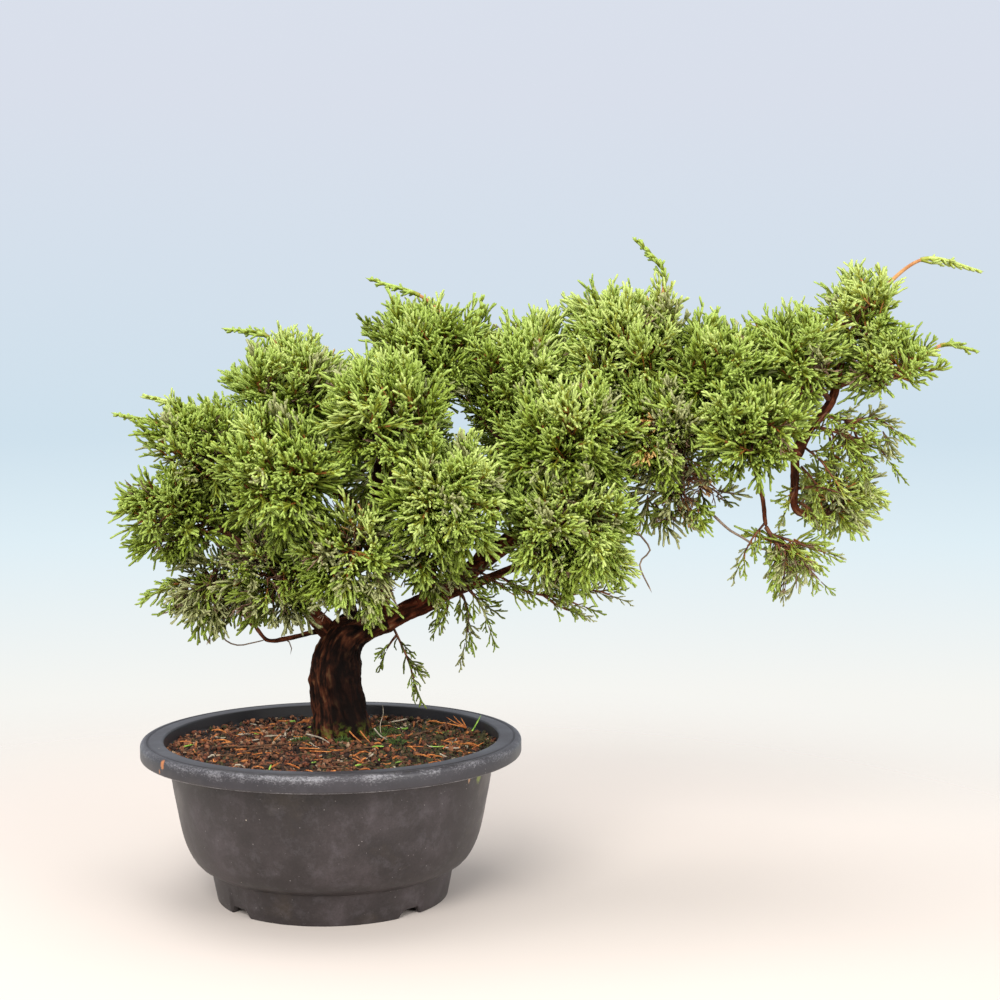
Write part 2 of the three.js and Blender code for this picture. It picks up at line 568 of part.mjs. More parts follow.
function potSolid() {
  const { rimRadius, rimTop, rimWidth, lipHeight, lipRound, lipChamfer } = POT;
  const { grooveRadius, grooveWidth, grooveDepth } = POT;
  const { ledge, wall, footRadius, footInner, floorUnder, floorTop, padRadius, waist, waistRound } = POT;
  const at = (r, z) => new THREE.Vector2(r, z);
  const bowl = bowlLine();
  const inside = bowl.map((p) => at(p.x - wall, p.y)).reverse();
  const profile = [
    at(0, 0), at(padRadius, 0), at(padRadius, floorUnder),
    at(footInner, floorUnder), at(footInner, 0), at(footRadius, 0),
    at(waist[0] - waistRound, waist[1] - waistRound / 2), ...bowl,
    at(rimRadius - lipChamfer, rimTop - lipHeight), at(rimRadius, rimTop - lipHeight + lipChamfer),
    at(rimRadius, rimTop - lipRound), at(rimRadius - lipRound, rimTop),
    at(grooveRadius + grooveWidth / 2, rimTop), at(grooveRadius, rimTop - grooveDepth),
    at(grooveRadius - grooveWidth / 2, rimTop), at(rimRadius - rimWidth, rimTop), at(...ledge), ...inside,
    at(footRadius - wall, floorTop), at(0, floorTop),
  ];
  let pot = toSolid(turned(profile));
  for (let i = 0; i < NOTCH.count; i++) {
    const angle = THREE.MathUtils.degToRad(NOTCH.firstAngle + (360 * i) / NOTCH.count);
    pot = pot.subtract(toSolid(notchGeometry().rotateZ(angle)));
  }
  for (let i = 0; i < DRAIN.count; i++) {
    const angle = (2 * Math.PI * i) / DRAIN.count;
    const hole = new THREE.CylinderGeometry(DRAIN.radius, DRAIN.radius, 2 * floorTop, DRAIN.sides);
    hole.rotateX(Math.PI / 2).translate(DRAIN.ring * Math.cos(angle), DRAIN.ring * Math.sin(angle), floorTop);
    pot = pot.subtract(toSolid(hole));
  }
  return largestBody(pot);
}

// A notch through the foot ring with one steep and one sloping side.
function notchGeometry() {
  const { width, height, slopes: [steep, sloping], overrun: [inward, depth] } = NOTCH;
  const outline = new THREE.Shape([
    new THREE.Vector2(-width / 2, -1), new THREE.Vector2(width / 2, -1),
    new THREE.Vector2(width / 2 - sloping, height), new THREE.Vector2(-width / 2 + steep, height),
  ]);
  const geometry = new THREE.ExtrudeGeometry(outline, { depth, bevelEnabled: false });
  return geometry.rotateX(Math.PI / 2).rotateZ(Math.PI / 2).translate(POT.footInner - inward, 0, 0);
}

// How deep the soil dips at a place.
function soilDip(x, y) {
  const [across, away] = [x, y].map((place, i) => (
    Math.sin((2 * Math.PI * place) / SOIL.spans[i] + SOIL.starts[i])));
  const fromTrunk = Math.hypot(x - SOIL.clearOf[0], y - SOIL.clearOf[1]);
  return SOIL.dip * (0.5 + 0.5 * across * away) * THREE.MathUtils.smoothstep(fromTrunk, SOIL.clearFrom, SOIL.clearTo);
}

function soilSolid() {
  const { wall, footRadius, floorTop, neckRadius, rimTop, lipHeight } = POT;
  const fit = wall + CLEARANCE + 0.1;
  const at = (r, z) => new THREE.Vector2(r, z);
  const neck = rimTop - lipHeight;
  const side = bowlLine().filter((p) => p.y < neck - 1).map((p) => at(p.x - fit, p.y));
  const edge = at(...SOIL.edge);
  const rises = SOIL.rings.map((r) => at(r, mix(SOIL.top, edge.y,
    THREE.MathUtils.clamp((r - SOIL.patchRadius) / (edge.x - SOIL.patchRadius), 0, 1))));
  const profile = [
    at(0, floorTop + CLEARANCE), at(footRadius - fit, floorTop + CLEARANCE), ...side,
    at(neckRadius - fit, neck), edge, ...rises, at(0, SOIL.top),
  ];
  const geometry = turned(profile);
  const points = geometry.attributes.position;
  for (let i = 0; i < points.count; i++) {
    const [x, y, z] = [points.getX(i), points.getY(i), points.getZ(i)];
    const radius = Math.hypot(x, y);
    if (z > neck + 1 && radius < edge.x - 1) points.setZ(i, z - soilDip(x, y));
  }
  return toSolid(geometry);
}

// The plant and its pot, each sub-part with its own finish.

const finishes = {
  pot: { color: 0x4b4745, roughness: 0.62 },
  soil: { color: 0x6d5138, roughness: 1 },
  trunk: { color: 0x4a3426, roughness: 0.95 },
  limb: { color: 0x6b4231, roughness: 0.9 },
  foliage: { color: 0x6f8f33, roughness: 0.7 },
};

function part(name, solid, finish) {
  const material = new THREE.MeshStandardMaterial({ ...finish, metalness: 0, flatShading: true });
  const mesh = new THREE.Mesh(toGeometry(solid), material);
  mesh.name = name;
  return mesh;
}

// The foliage's colour, a little warmer or cooler and lighter or darker from mass to mass.
function foliageFinish(number) {
  const color = new THREE.Color(finishes.foliage.color);
  color.offsetHSL(0.02 * Math.sin(2.4 * number), 0, 0.04 * Math.cos(1.7 * number));
  return { ...finishes.foliage, color };
}

const bonsai = new THREE.Group();
bonsai.add(part('pot', potSolid(), finishes.pot));
bonsai.add(part('soil', soilSolid(), finishes.soil));

const { limbs, solids } = buildLimbs();
for (const [name, solid] of solids) {
  bonsai.add(part(name, solid, name === 'trunk' ? finishes.trunk : finishes.limb));
}
MASSES.forEach((mass, number) => {
  bonsai.add(part(mass.name, massSolid(mass, number, MASSES, limbs), foliageFinish(number)));
});

export default bonsai;
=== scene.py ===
"""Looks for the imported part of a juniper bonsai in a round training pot.

Lengths are millimetres until a mesh is made. x runs along the long arm, y away from the front and z up, with
the origin in the middle of the pot's underside.
"""

import logging
import math
from dataclasses import dataclass, field, replace
from enum import Enum
from typing import Callable, Iterable, Optional, Sequence

import bmesh
import bpy
import numpy as np
from mathutils import Matrix, Vector, noise


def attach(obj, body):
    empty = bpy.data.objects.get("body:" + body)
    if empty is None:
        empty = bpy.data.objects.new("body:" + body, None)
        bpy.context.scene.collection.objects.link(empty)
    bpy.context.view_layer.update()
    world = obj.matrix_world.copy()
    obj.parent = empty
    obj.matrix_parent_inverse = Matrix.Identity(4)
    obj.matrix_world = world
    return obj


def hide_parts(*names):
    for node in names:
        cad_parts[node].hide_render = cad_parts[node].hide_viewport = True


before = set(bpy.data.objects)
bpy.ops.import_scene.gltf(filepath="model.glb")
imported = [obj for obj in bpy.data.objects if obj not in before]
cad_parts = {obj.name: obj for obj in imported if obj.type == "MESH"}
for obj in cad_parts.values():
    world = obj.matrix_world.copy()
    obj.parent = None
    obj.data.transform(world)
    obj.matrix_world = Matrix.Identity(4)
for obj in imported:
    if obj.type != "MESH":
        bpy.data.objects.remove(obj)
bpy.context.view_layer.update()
LOG = logging.getLogger("bonsai")

MM = 0.001
GOLDEN_ANGLE = math.pi * (3 - math.sqrt(5))
PIECE_LIMIT = 185_000  # triangles in one joined piece
CURVE_STEPS = 40  # points worked out for each stretch of a smooth line

Place = tuple[float, float, float]


# Shading tools.

def linear(code: str) -> tuple[float, float, float, float]:
    """Turns an sRGB colour of six hex digits into linear light with full alpha."""
    parts = [int(code[i:i + 2], 16) / 255 for i in (0, 2, 4)]
    return *(c / 12.92 if c <= 0.04045 else ((c + 0.055) / 1.055) ** 2.4 for c in parts), 1.0


def wire(tree: bpy.types.NodeTree, node: bpy.types.Node, inputs: dict) -> None:
    """Gives a node's inputs their values and links.

    Args:
        tree: The node tree.
        node: The node.
        inputs: Values, output sockets or nodes, whose first output is meant, by the name or number of the
            input they go to.
    """
    for socket, value in inputs.items():
        if isinstance(value, bpy.types.Node):
            value = value.outputs[0]
        if isinstance(value, bpy.types.NodeSocket):
            tree.links.new(value, node.inputs[socket])
        else:
            node.inputs[socket].default_value = value


def add(tree: bpy.types.NodeTree, kind: str, inputs: Optional[dict] = None,
        **settings: object) -> bpy.types.Node:
    """Adds one shader node with its settings and links.

    Args:
        tree: The node tree that takes the node.
        kind: The node's type, without the word ShaderNode.
        inputs: What its inputs get, as wire takes it.
        settings: The node's own properties.
    Returns:
        The new node.
    """
    node = tree.nodes.new("ShaderNode" + kind)
    for name, value in settings.items():
        setattr(node, name, value)
    wire(tree, node, inputs or {})
    return node


def set_stops(ramp: bpy.types.Node, marks: Sequence[tuple[float, str]]) -> None:
    """Gives a colour ramp its stops.

    Args:
        ramp: The colour ramp node.
        marks: Places from 0 to 1 with their sRGB colours, in rising order.
    """
    elements = ramp.color_ramp.elements
    while len(elements) < len(marks):
        elements.new(0.5)
    for element, (place, code) in zip(elements, marks):
        element.position = place
        element.color = linear(code)


def per_metre(size: float) -> float:
    """Gives the scale of a pattern on coordinates in metres from its feature size in mm."""
    return 1 / (size * MM)


def blank_material(name: str) -> tuple[bpy.types.Material, bpy.types.NodeTree, bpy.types.Node]:
    """Makes a node material with only a principled shader and its output.

    Args:
        name: The material's name.
    Returns:
        The material, its tree and its shader node.
    """
    material = bpy.data.materials.new(name)
    material.use_nodes = True
    tree = material.node_tree
    return material, tree, tree.nodes["Principled BSDF"]


@dataclass(frozen=True)
class ScuffedPolypropylene:
    """Injection-moulded black polypropylene, faded and scuffed.

    The body looks soft, dull and slightly mottled, and the lip is greyer, with chalky rubbing on its edge.
    """

    clouds: tuple[tuple[float, str], ...] = (
        (0.3, "352d28"), (0.43, "282222"), (0.56, "332c2c"), (0.72, "453d3e"))
    noises: tuple[tuple[float, float, float], ...] = (  # width in mm, detail and roughness
        (38.0, 5.0, 0.6), (1.4, 3.0, 0.7), (12.0, 8.0, 0.8), (18.0, 3.0, 0.5))  # fading, grain, film, rubbing
    # the inner wall's near-black painted shade
    inside: str = "121112"
    film: str = "8b858a"
    lip: str = "363438"
    chalk: str = "c0bcbe"
    stains: tuple[tuple[Place, Place, str], ...] = (  # place, half-widths and colour
        ((-94.0, -74.6, 98.8), (2.0, 2.0, 3.4), "b5703f"), ((-96.5, -72.0, 93.5), (0.9, 0.9, 1.6), "a46a42"),
        ((94.1, -40.6, 84.0), (3.2, 3.2, 4.6), "77803a"), ((88.0, -52.0, 84.5), (1.1, 1.1, 2.6), "b58a66"))
    grit: tuple[tuple[float, float, float, str], ...] = (  # spacing in mm, half-width, strength and colour
        (2.4, 0.19, 0.5, "a39c99"), (6.0, 0.085, 0.8, "c4b7a4"))
    lip_bottom: float = 91.2
    lip_inner: float = 106.6
    lip_cover: float = 0.62  # how far the lip's own colour hides the body's
    # how far the painted shade hides the inner wall's own colour
    wall_cover: float = 0.85
    chalk_levels: tuple[float, float] = (94.5, 99.0)
    chalk_cover: float = 0.62
    outer_radius: float = 117.0

    def material(self) -> bpy.types.Material:
        """Builds the material.

        Returns:
            The finished material.
        """
        material, tree, shader = blank_material("moulded_polypropylene_scuffed")
        where = add(tree, "TexCoord").outputs["Object"]
        parts = add(tree, "SeparateXYZ", {0: where})
        flat = add(tree, "CombineXYZ", {0: parts.outputs[0], 1: parts.outputs[1]})
        radius = add(tree, "VectorMath", {0: flat}, operation="LENGTH").outputs["Value"]
        height = parts.outputs[2]

        broad, fine, haze, patches = (
            add(tree, "TexNoise", {0: where, "Scale": per_metre(width), "Detail": detail, "Roughness": rough})
            for width, detail, rough in self.noises)
        # Broad fading with moulding grain and fine dust on it.
        fading = add(tree, "ValToRGB", {0: broad})
        set_stops(fading, self.clouds)
        grain = add(tree, "MapRange", {0: fine, 1: 0.3, 2: 0.75, 3: 0.82, 4: 1.2})
        grainy = add(tree, "VectorMath", {0: fading, 3: grain}, operation="SCALE")
        # A pale film of dust in ragged clouds.
        filmy = add(tree, "MapRange", {0: haze, 1: 0.5, 2: 0.78, 3: 0.0, 4: 0.2})

        # The lip is greyer and cooler than the body, and the inner wall is painted almost black as shade
        # inside the pot.
        bottom, inner = self.lip_bottom, self.lip_inner
        above = add(tree, "MapRange", {0: height, 1: (bottom - 1) * MM, 2: bottom * MM})
        beyond = add(tree, "MapRange", {0: radius, 1: (inner - 0.6) * MM, 2: (inner + 0.6) * MM})
        on_lip = add(tree, "Math", {0: above, 1: beyond}, operation="MULTIPLY")
        within = add(tree, "Math", {0: above, 1: on_lip}, operation="SUBTRACT")
        painted_shade = add(tree, "Math", {0: within, 1: self.wall_cover}, operation="MULTIPLY")
        greyed = add(tree, "Math", {0: on_lip, 1: self.lip_cover}, operation="MULTIPLY")

        # Chalky rubbing on the lip's outer face: scratches 1.6 mm long in patches, most of them near the
        # upper edge, and a pale worn line along the lower edge.
        scratches = add(tree, "Mapping", {0: where, 3: (per_metre(1.6), per_metre(1.6), per_metre(0.9))})
        rubbing = add(tree, "TexNoise", {0: scratches, 2: 1.0, "Detail": 6.0, "Roughness": 0.8})
        worn = add(tree, "Math", {0: patches, 1: 0.45, 2: rubbing}, operation="MULTIPLY_ADD")
        low, high = self.chalk_levels
        upper = add(tree, "MapRange", {0: height, 1: low * MM, 2: high * MM, 3: 0.0, 4: 0.17})
        under = add(tree, "MapRange", {0: height, 1: (bottom + 0.8) * MM, 2: bottom * MM, 3: 0.0, 4: 0.3})
        edges = add(tree, "Math", {0: upper, 1: under}, operation="MAXIMUM")
        level = add(tree, "Math", {0: worn, 1: edges}, operation="ADD")
        rubbed = add(tree, "MapRange", {0: level, 1: 0.86, 2: 1.17, 3: 0.0, 4: self.chalk_cover})
        outer = add(tree, "MapRange", {0: radius, 1: self.outer_radius * MM, 2: (self.outer_radius + 2) * MM})
        on_face = add(tree, "Math", {0: outer, 1: above}, operation="MULTIPLY")
        chalky = add(tree, "Math", {0: on_face, 1: rubbed}, operation="MULTIPLY")
        layers = [(filmy, self.film), (painted_shade, self.inside), (greyed, self.lip), (chalky, self.chalk)]

        # A rust stain on the lip and a fleck of moss below it, broken up by the fine grain.
        for at, widths, color in self.stains:
            offset = add(tree, "VectorMath", {0: where, 1: tuple(MM * c for c in at)}, operation="SUBTRACT")
            scaled = add(tree, "VectorMath", {0: offset, 1: tuple(MM * c for c in widths)},
                         operation="DIVIDE")
            reach = add(tree, "VectorMath", {0: scaled}, operation="LENGTH").outputs["Value"]
            ragged = add(tree, "Math", {0: rubbing, 1: -2.2, 2: reach}, operation="MULTIPLY_ADD")
            layers.append((add(tree, "MapRange", {0: ragged, 1: 0.1, 2: -0.4}), color))

        # Dust specks and sparser grit, both up to a millimetre across.
        for spacing, most, strength, color in self.grit:
            cells = add(tree, "TexVoronoi", {0: where, "Scale": per_metre(spacing)})
            chance = add(tree, "MapRange", {0: cells.outputs["Color"], 1: 0.55, 2: 1.0, 3: 0.0, 4: most})
            core = add(tree, "Math", {0: chance, 1: cells}, operation="SUBTRACT")
            dots = add(tree, "MapRange", {0: core, 1: 0.0, 2: 0.02, 3: 0.0, 4: strength})
            layers.append((dots, color))
        shade = grainy
        for cover, color in layers:
            shade = add(tree, "Mix", {0: cover, 6: shade, 7: linear(color)}, data_type="RGBA").outputs[2]
        dull = add(tree, "MapRange", {0: broad, 1: 0.3, 2: 0.7, 3: 0.36, 4: 0.56})
        bump = add(tree, "Bump", {"Height": fine, "Strength": 0.25, "Distance": 0.15 * MM})
        wire(tree, shader, {"Base Color": shade, "Roughness": dull, "IOR": 1.49, "Normal": bump})
        return material


@dataclass(frozen=True)
class FibrousBark:
    """Juniper bark in strips that run along the wood.

    Grooves look almost black, the strips red-brown, and the worn crests a dusty tan.
    """

    name: str
    groove: str
    body: str
    red: str
    crest: str
    # the colour of the damp patches, which also stands for painted shade
    painted_shade: str = "0e0806"
    moss: str = "5a6423"
    moss_below: float = 0.0  # height in mm under which moss creeps up the bark
    moss_fade: float = 14.0  # the moss is full this far below
    # The damp patches also carry painted shade.
    damp_and_shade: float = 0.0  # how much darker the damp patches are

    def material(self) -> bpy.types.Material:
        """Builds the material, which reads the attributes for fibre, crest, and damp with painted shade of
        the bark's mesh.

        Returns:
            The finished material.
        """
        material, tree, shader = blank_material(self.name)
        fibre = add(tree, "Attribute", attribute_name="fibre").outputs["Vector"]
        crest = add(tree, "Attribute", attribute_name="crest").outputs["Fac"]
        where = add(tree, "TexCoord").outputs["Object"]
        # Fibres about 1.1 mm wide and 16 mm long, on coordinates in mm.
        strips = add(tree, "Mapping", {0: fibre, 3: (1 / 1.1, 1 / 1.1, 1 / 16)})
        fibres = add(tree, "TexNoise", {0: strips, "Scale": 1.0, "Detail": 5.0, "Roughness": 0.65})
        # Flakes about 5 mm across that lift off the wood.
        scales = add(tree, "Mapping", {0: fibre, 3: (1 / 5, 1 / 5, 1 / 10)})
        flakes = add(tree, "TexNoise", {0: scales, "Scale": 1.0, "Detail": 4.0, "Distortion": 0.6})
        relief = add(tree, "Math", {0: crest, 1: 0.45, 2: flakes}, operation="MULTIPLY_ADD")
        level = add(tree, "Math", {0: fibres, 1: 0.4, 2: relief}, operation="MULTIPLY_ADD")
        share = add(tree, "MapRange", {0: level, 1: 0.58, 2: 1.36})
        strip = add(tree, "ValToRGB", {0: share})
        set_stops(strip, [(0.12, self.groove), (0.42, self.body), (0.66, self.red), (0.92, self.crest)])
        # Red-brown where outer bark has peeled, in patches about 22 mm across.
        patches = add(tree, "TexNoise", {0: where, "Scale": per_metre(22), "Detail": 3.0})
        peeled = add(tree, "MapRange", {0: patches, 1: 0.5, 2: 0.66, 3: 0.0, 4: 0.55})
        layers = [(peeled, self.red, "OVERLAY")]
        # Damp patches with painted shade, darkest down the trunk's right front and under the arm.
        if self.damp_and_shade:
            damp_and_shade = add(tree, "Attribute", attribute_name="damp_and_shade").outputs["Fac"]
            layers.append((add(tree, "Math", {0: damp_and_shade, 1: self.damp_and_shade}, operation="MULTIPLY"), self.painted_shade, "MIX"))
        if self.moss_below:
            height = add(tree, "SeparateXYZ", {0: where}).outputs[2]
            top, full = self.moss_below * MM, (self.moss_below - self.moss_fade) * MM
            low = add(tree, "MapRange", {0: height, 1: top, 2: full})
            clumps = add(tree, "TexNoise", {0: where, "Scale": per_metre(5), "Detail": 4.0, "Roughness": 0.7})
            dense = add(tree, "MapRange", {0: clumps, 1: 0.52, 2: 0.62})
            mossy = add(tree, "Math", {0: low, 1: dense}, operation="MULTIPLY")
            layers.append((mossy, self.moss, "MIX"))
        shade = strip
        for cover, color, blend in layers:
            shade = add(tree, "Mix", {0: cover, 6: shade, 7: linear(color)}, data_type="RGBA",
                        blend_type=blend).outputs[2]
        bump = add(tree, "Bump", {"Height": level, "Strength": 0.8, "Distance": 0.7 * MM})
        wire(tree, shader, {"Base Color": shade, "Roughness": 0.9, "Specular IOR Level": 0.1, "Normal": bump})
        return material


@dataclass(frozen=True)
class Mottled:
    """A dull natural stuff whose colour wanders between two shades, such as clay, humus or a dry needle.

    It looks matt and uneven at the size of its spots, which are given in mm.
    """

    name: str
    dark: str
    light: str
    spot: float
    roughness: float = 0.92
    depth: float = 0.1

    def material(self) -> bpy.types.Material:
        """Builds the material.

        Returns:
            The finished material.
        """
        material, tree, shader = blank_material(self.name)
        where = add(tree, "TexCoord").outputs["Object"]
        spots = add(tree, "TexNoise", {0: where, "Scale": per_metre(self.spot), "Detail": 3.0})
        shades = add(tree, "ValToRGB", {0: spots})
        set_stops(shades, [(0.35, self.dark), (0.65, self.light)])
        bump = add(tree, "Bump", {"Height": spots, "Strength": 0.5, "Distance": self.depth * MM})
        wire(tree, shader, {"Base Color": shades, "Roughness": self.roughness, "Normal": bump})
        return material


@dataclass(frozen=True)
class WaxyScaleLeaf:
    """Living juniper scale leaf: opaque, with a soft waxy sheen, and plain in colour."""

    name: str
    color: str

    def material(self) -> bpy.types.Material:
        """Builds the material.

        Returns:
            The finished material.
        """
        material, tree, shader = blank_material(self.name)
        material.diffuse_color = linear(self.color)
        wire(tree, shader, {"Base Color": linear(self.color), "Roughness": 0.5, "IOR": 1.4})
        return material


class Choice(Enum):
    """Named choices that also have a number."""

    @property
    def number(self) -> int:
        """The choice's place in the list of its kind."""
        return list(type(self)).index(self)


class Tone(Choice):
    """The colours of a spray: its shaft, its fingers and their tips."""

    # SHADE, LEAF, FRESH and SPRING run from painted shade to painted light on one leaf, partly also older to
    # younger growth.
    SHADE = ("432616", "5a611b", "78862c")
    LEAF = ("6e4020", "747e25", "91a43c")
    FRESH = ("98592a", "8c942e", "a6b956")
    SPRING = ("b27640", "a2a740", "bdcb70")
    OLIVE = ("5c4633", "82834b", "a9aa73")
    STRAW = ("7c4f2c", "a8783c", "cfa765")
    BARE = ("5b3f31", "6e5040", "8d6f5b")


def leaf_materials() -> list[bpy.types.Material]:
    """Builds a shaft, a finger and a tip material for each tone, in order."""
    return [WaxyScaleLeaf(f"scale_leaf_{tone.name.lower()}_{part}", color).material()
            for tone in Tone for part, color in zip(("shaft", "finger", "tip"), tone.value)]


# Shape tools.

def smooth_line(points: Sequence[Place], spacing: float) -> np.ndarray:
    """Draws a centripetal curve through some points, as the part's source does.

    Args:
        points: The points that the curve passes.
        spacing: About how far apart the returned points are.
    Returns:
        Evenly spaced points of the curve, one to a row.
    """
    p = np.asarray(points, float)
    p = np.vstack([2 * p[0] - p[1], p, 2 * p[-1] - p[-2]])
    t = np.linspace(0, 1, CURVE_STEPS)[:, None]
    runs = []
    for a, b, c, d in zip(p, p[1:], p[2:], p[3:]):
        u, v, w = (math.sqrt(np.linalg.norm(q)) for q in (b - a, c - b, d - c))
        leave = ((b - a) / u - (c - a) / (u + v) + (c - b) / v) * v
        enter = ((c - b) / v - (d - b) / (v + w) + (d - c) / w) * v
        runs.append(b + leave * t + (3 * (c - b) - 2 * leave - enter) * t ** 2
                    + (2 * (b - c) + leave + enter) * t ** 3)
    dense = np.vstack([runs[0]] + [run[1:] for run in runs[1:]])
    along = np.concatenate([[0], np.cumsum(np.linalg.norm(np.diff(dense, axis=0), axis=1))])
    count = max(2, round(along[-1] / spacing) + 1)
    wanted = np.linspace(0, along[-1], count)
    return np.stack([np.interp(wanted, along, dense[:, k]) for k in range(3)], axis=1)


def unit(vector: np.ndarray) -> np.ndarray:
    """Scales a vector, or each row of an array, to length one."""
    return vector / np.maximum(np.linalg.norm(vector, axis=-1, keepdims=True), 1e-9)


def square_to(direction: np.ndarray, roll: float = 0.0) -> tuple[np.ndarray, np.ndarray]:
    """Finds two unit vectors square to a direction.

    Args:
        direction: A unit vector.
        roll: How far the two are turned about it, in radians.
    Returns:
        The two vectors.
    """
    helper = np.array([0.0, 0, 1]) if abs(direction[2]) < 0.9 else np.array([1.0, 0, 0])
    u = unit(np.cross(direction, helper))
    v = np.cross(direction, u)
    return u * math.cos(roll) + v * math.sin(roll), v * math.cos(roll) - u * math.sin(roll)


def turn_to(direction: np.ndarray, roll: float) -> np.ndarray:
    """Gives the matrix that turns z to a direction and rolls about it."""
    return np.stack([*square_to(direction, roll), direction], axis=1)


def carried_frames(line: np.ndarray) -> tuple[np.ndarray, np.ndarray, np.ndarray]:
    """Carries a frame along a line without letting it twist.

    Args:
        line: Points of the line, one to a row.
    Returns:
        The directions of the line and two vectors square to them, at each point.
    """
    tangents = unit(np.gradient(line, axis=0))
    u, _ = square_to(tangents[0])
    us = []
    for tangent in tangents:
        u = unit(u - tangent * (u @ tangent))
        us.append(u)
    us = np.array(us)
    return tangents, us, np.cross(tangents, us)


@dataclass
class Pattern:
    """A small mesh of triangles kept as arrays, to be set out in great numbers."""

    points: np.ndarray
    corners: np.ndarray
    finish: np.ndarray

    @classmethod
    def read(cls, bm: bmesh.types.BMesh) -> "Pattern":
        """Takes a mesh being built, and frees it.

        Args:
            bm: The mesh.
        Returns:
            The pattern.
        """
        bmesh.ops.triangulate(bm, faces=bm.faces)
        bm.verts.index_update()
        pattern = cls(
            np.array([v.co for v in bm.verts], np.float32).reshape(-1, 3),
            np.array([[v.index for v in f.verts] for f in bm.faces], np.int32).reshape(-1, 3),
            np.array([f.material_index for f in bm.faces], np.int32),
        )
        bm.free()
        return pattern

    @classmethod
    def join(cls, patterns: Iterable["Pattern"]) -> "Pattern":
        """Puts several patterns into one.

        Args:
            patterns: The patterns.
        Returns:
            The joined pattern.
        """
        patterns = list(patterns)
        starts = np.cumsum([0] + [len(p.points) for p in patterns])
        return cls(
            np.concatenate([p.points for p in patterns]),
            np.concatenate([p.corners + start for p, start in zip(patterns, starts)]),
            np.concatenate([p.finish for p in patterns]),
        )

    def set_out(self, turns: np.ndarray, places: np.ndarray, finishes: np.ndarray) -> "Pattern":
        """Copies the pattern to many places.

        Args:
            turns: A 3 by 3 matrix for each copy.
            places: Where each copy's origin goes.
            finishes: A number added to each copy's finish numbers.
        Returns:
            All the copies as one pattern.
        """
        count, size = len(places), len(self.points)
        points = np.einsum("nij,pj->npi", turns, self.points) + places[:, None, :]
        corners = self.corners[None] + (np.arange(count) * size)[:, None, None]
        finish = self.finish[None] + finishes[:, None]
        return Pattern(points.reshape(-1, 3).astype(np.float32), corners.reshape(-1, 3), finish.reshape(-1))


def cord(line: np.ndarray, radii: Sequence[float], sides: int, finishes: Sequence[int] = (0,)) -> Pattern:
    """Builds a tapering cord that ends in a point.

    Args:
        line: Points of the middle line.
        radii: The cord's half-width at each point but the last.
        sides: How many sides the cord has.
        finishes: The finish of each stretch, of which the last holds on to the end.
    Returns:
        The cord.
    """
    bm = bmesh.new()
    tangents, us, vs = carried_frames(line)
    ring = bmesh.ops.create_circle(bm, cap_ends=True, segments=sides, radius=1.0)["verts"]
    for face in bm.faces:
        face.material_index = finishes[0]
    frames = []
    for point, tangent, u, v, radius in zip(line, tangents, us, vs, [*radii, radii[-1]]):
        turn = Matrix((u * radius, v * radius, tangent * radius)).transposed().to_4x4()
        frames.append(Matrix.Translation(point) @ turn)
    bmesh.ops.transform(bm, matrix=frames[0], verts=ring)
    for number, (last, here) in enumerate(zip(frames, frames[1:])):
        loop = [e for e in bm.edges if e.verts[0] in ring and e.verts[1] in ring]
        grown = bmesh.ops.extrude_edge_only(bm, edges=loop)["geom"]
        ring = [g for g in grown if isinstance(g, bmesh.types.BMVert)]
        for face in grown:
            if isinstance(face, bmesh.types.BMFace):
                face.material_index = finishes[min(number, len(finishes) - 1)]
        bmesh.ops.transform(bm, matrix=here @ last.inverted(), verts=ring)
    bmesh.ops.pointmerge(bm, verts=ring, merge_co=Vector(line[-1]))
    bmesh.ops.recalc_face_normals(bm, faces=bm.faces)
    return Pattern.read(bm)


def taper(line: np.ndarray, start: float, end: float, sides: int, finishes: Sequence[int] = (0,)) -> Pattern:
    """Builds a cord whose half-width goes evenly from start to end."""
    return cord(line, np.linspace(start, end, len(line) - 1), sides, finishes)


def turned_solid(rows: Sequence[Place], steps: int) -> bmesh.types.BMesh:
    """Rounds the corners of a section and turns it about the z axis.

    Args:
        rows: Radius, height and rounding of each corner.
        steps: How many sides the solid has.
    Returns:
        The solid.
    """
    bm = bmesh.new()
    verts = [bm.verts.new((r, 0, z)) for r, z, _ in rows]
    for a, b in zip(verts, verts[1:]):
        bm.edges.new((a, b))
    for rounding in sorted({row[2] for row in rows if row[2]}):
        corners = [v for v, row in zip(verts, rows) if row[2] == rounding]
        bmesh.ops.bevel(bm, geom=corners, offset=rounding, offset_type="OFFSET", segments=4, profile=0.5,
                        affect="VERTICES", material=-1)
    bmesh.ops.spin(bm, geom=bm.verts[:] + bm.edges[:], cent=(0, 0, 0), axis=(0, 0, 1), dvec=(0, 0, 0),
                   angle=2 * math.pi, steps=steps, use_merge=True, use_duplicate=False)
    bmesh.ops.remove_doubles(bm, verts=bm.verts, dist=0.01)
    return bm


def finished(name: str, bm: bmesh.types.BMesh) -> bpy.types.Mesh:
    """Turns a mesh being built into a mesh of the file, and frees it.

    Args:
        name: The new mesh's name.
        bm: The mesh being built.
    Returns:
        The new mesh.
    """
    mesh = bpy.data.meshes.new(name)
    bm.to_mesh(mesh)
    bm.free()
    return mesh


def in_metres(bm: bmesh.types.BMesh) -> bmesh.types.BMesh:
    """Scales a mesh being built from mm to metres, and gives it back."""
    bmesh.ops.scale(bm, vec=(MM, MM, MM), verts=bm.verts)
    return bm


def put(name: str, data: bpy.types.ID) -> bpy.types.Object:
    """Puts a new object in the scene.

    Args:
        name: The object's name.
        data: Its mesh, light or camera.
    Returns:
        The object.
    """
    item = bpy.data.objects.new(name, data)
    bpy.context.scene.collection.objects.link(item)
    return item


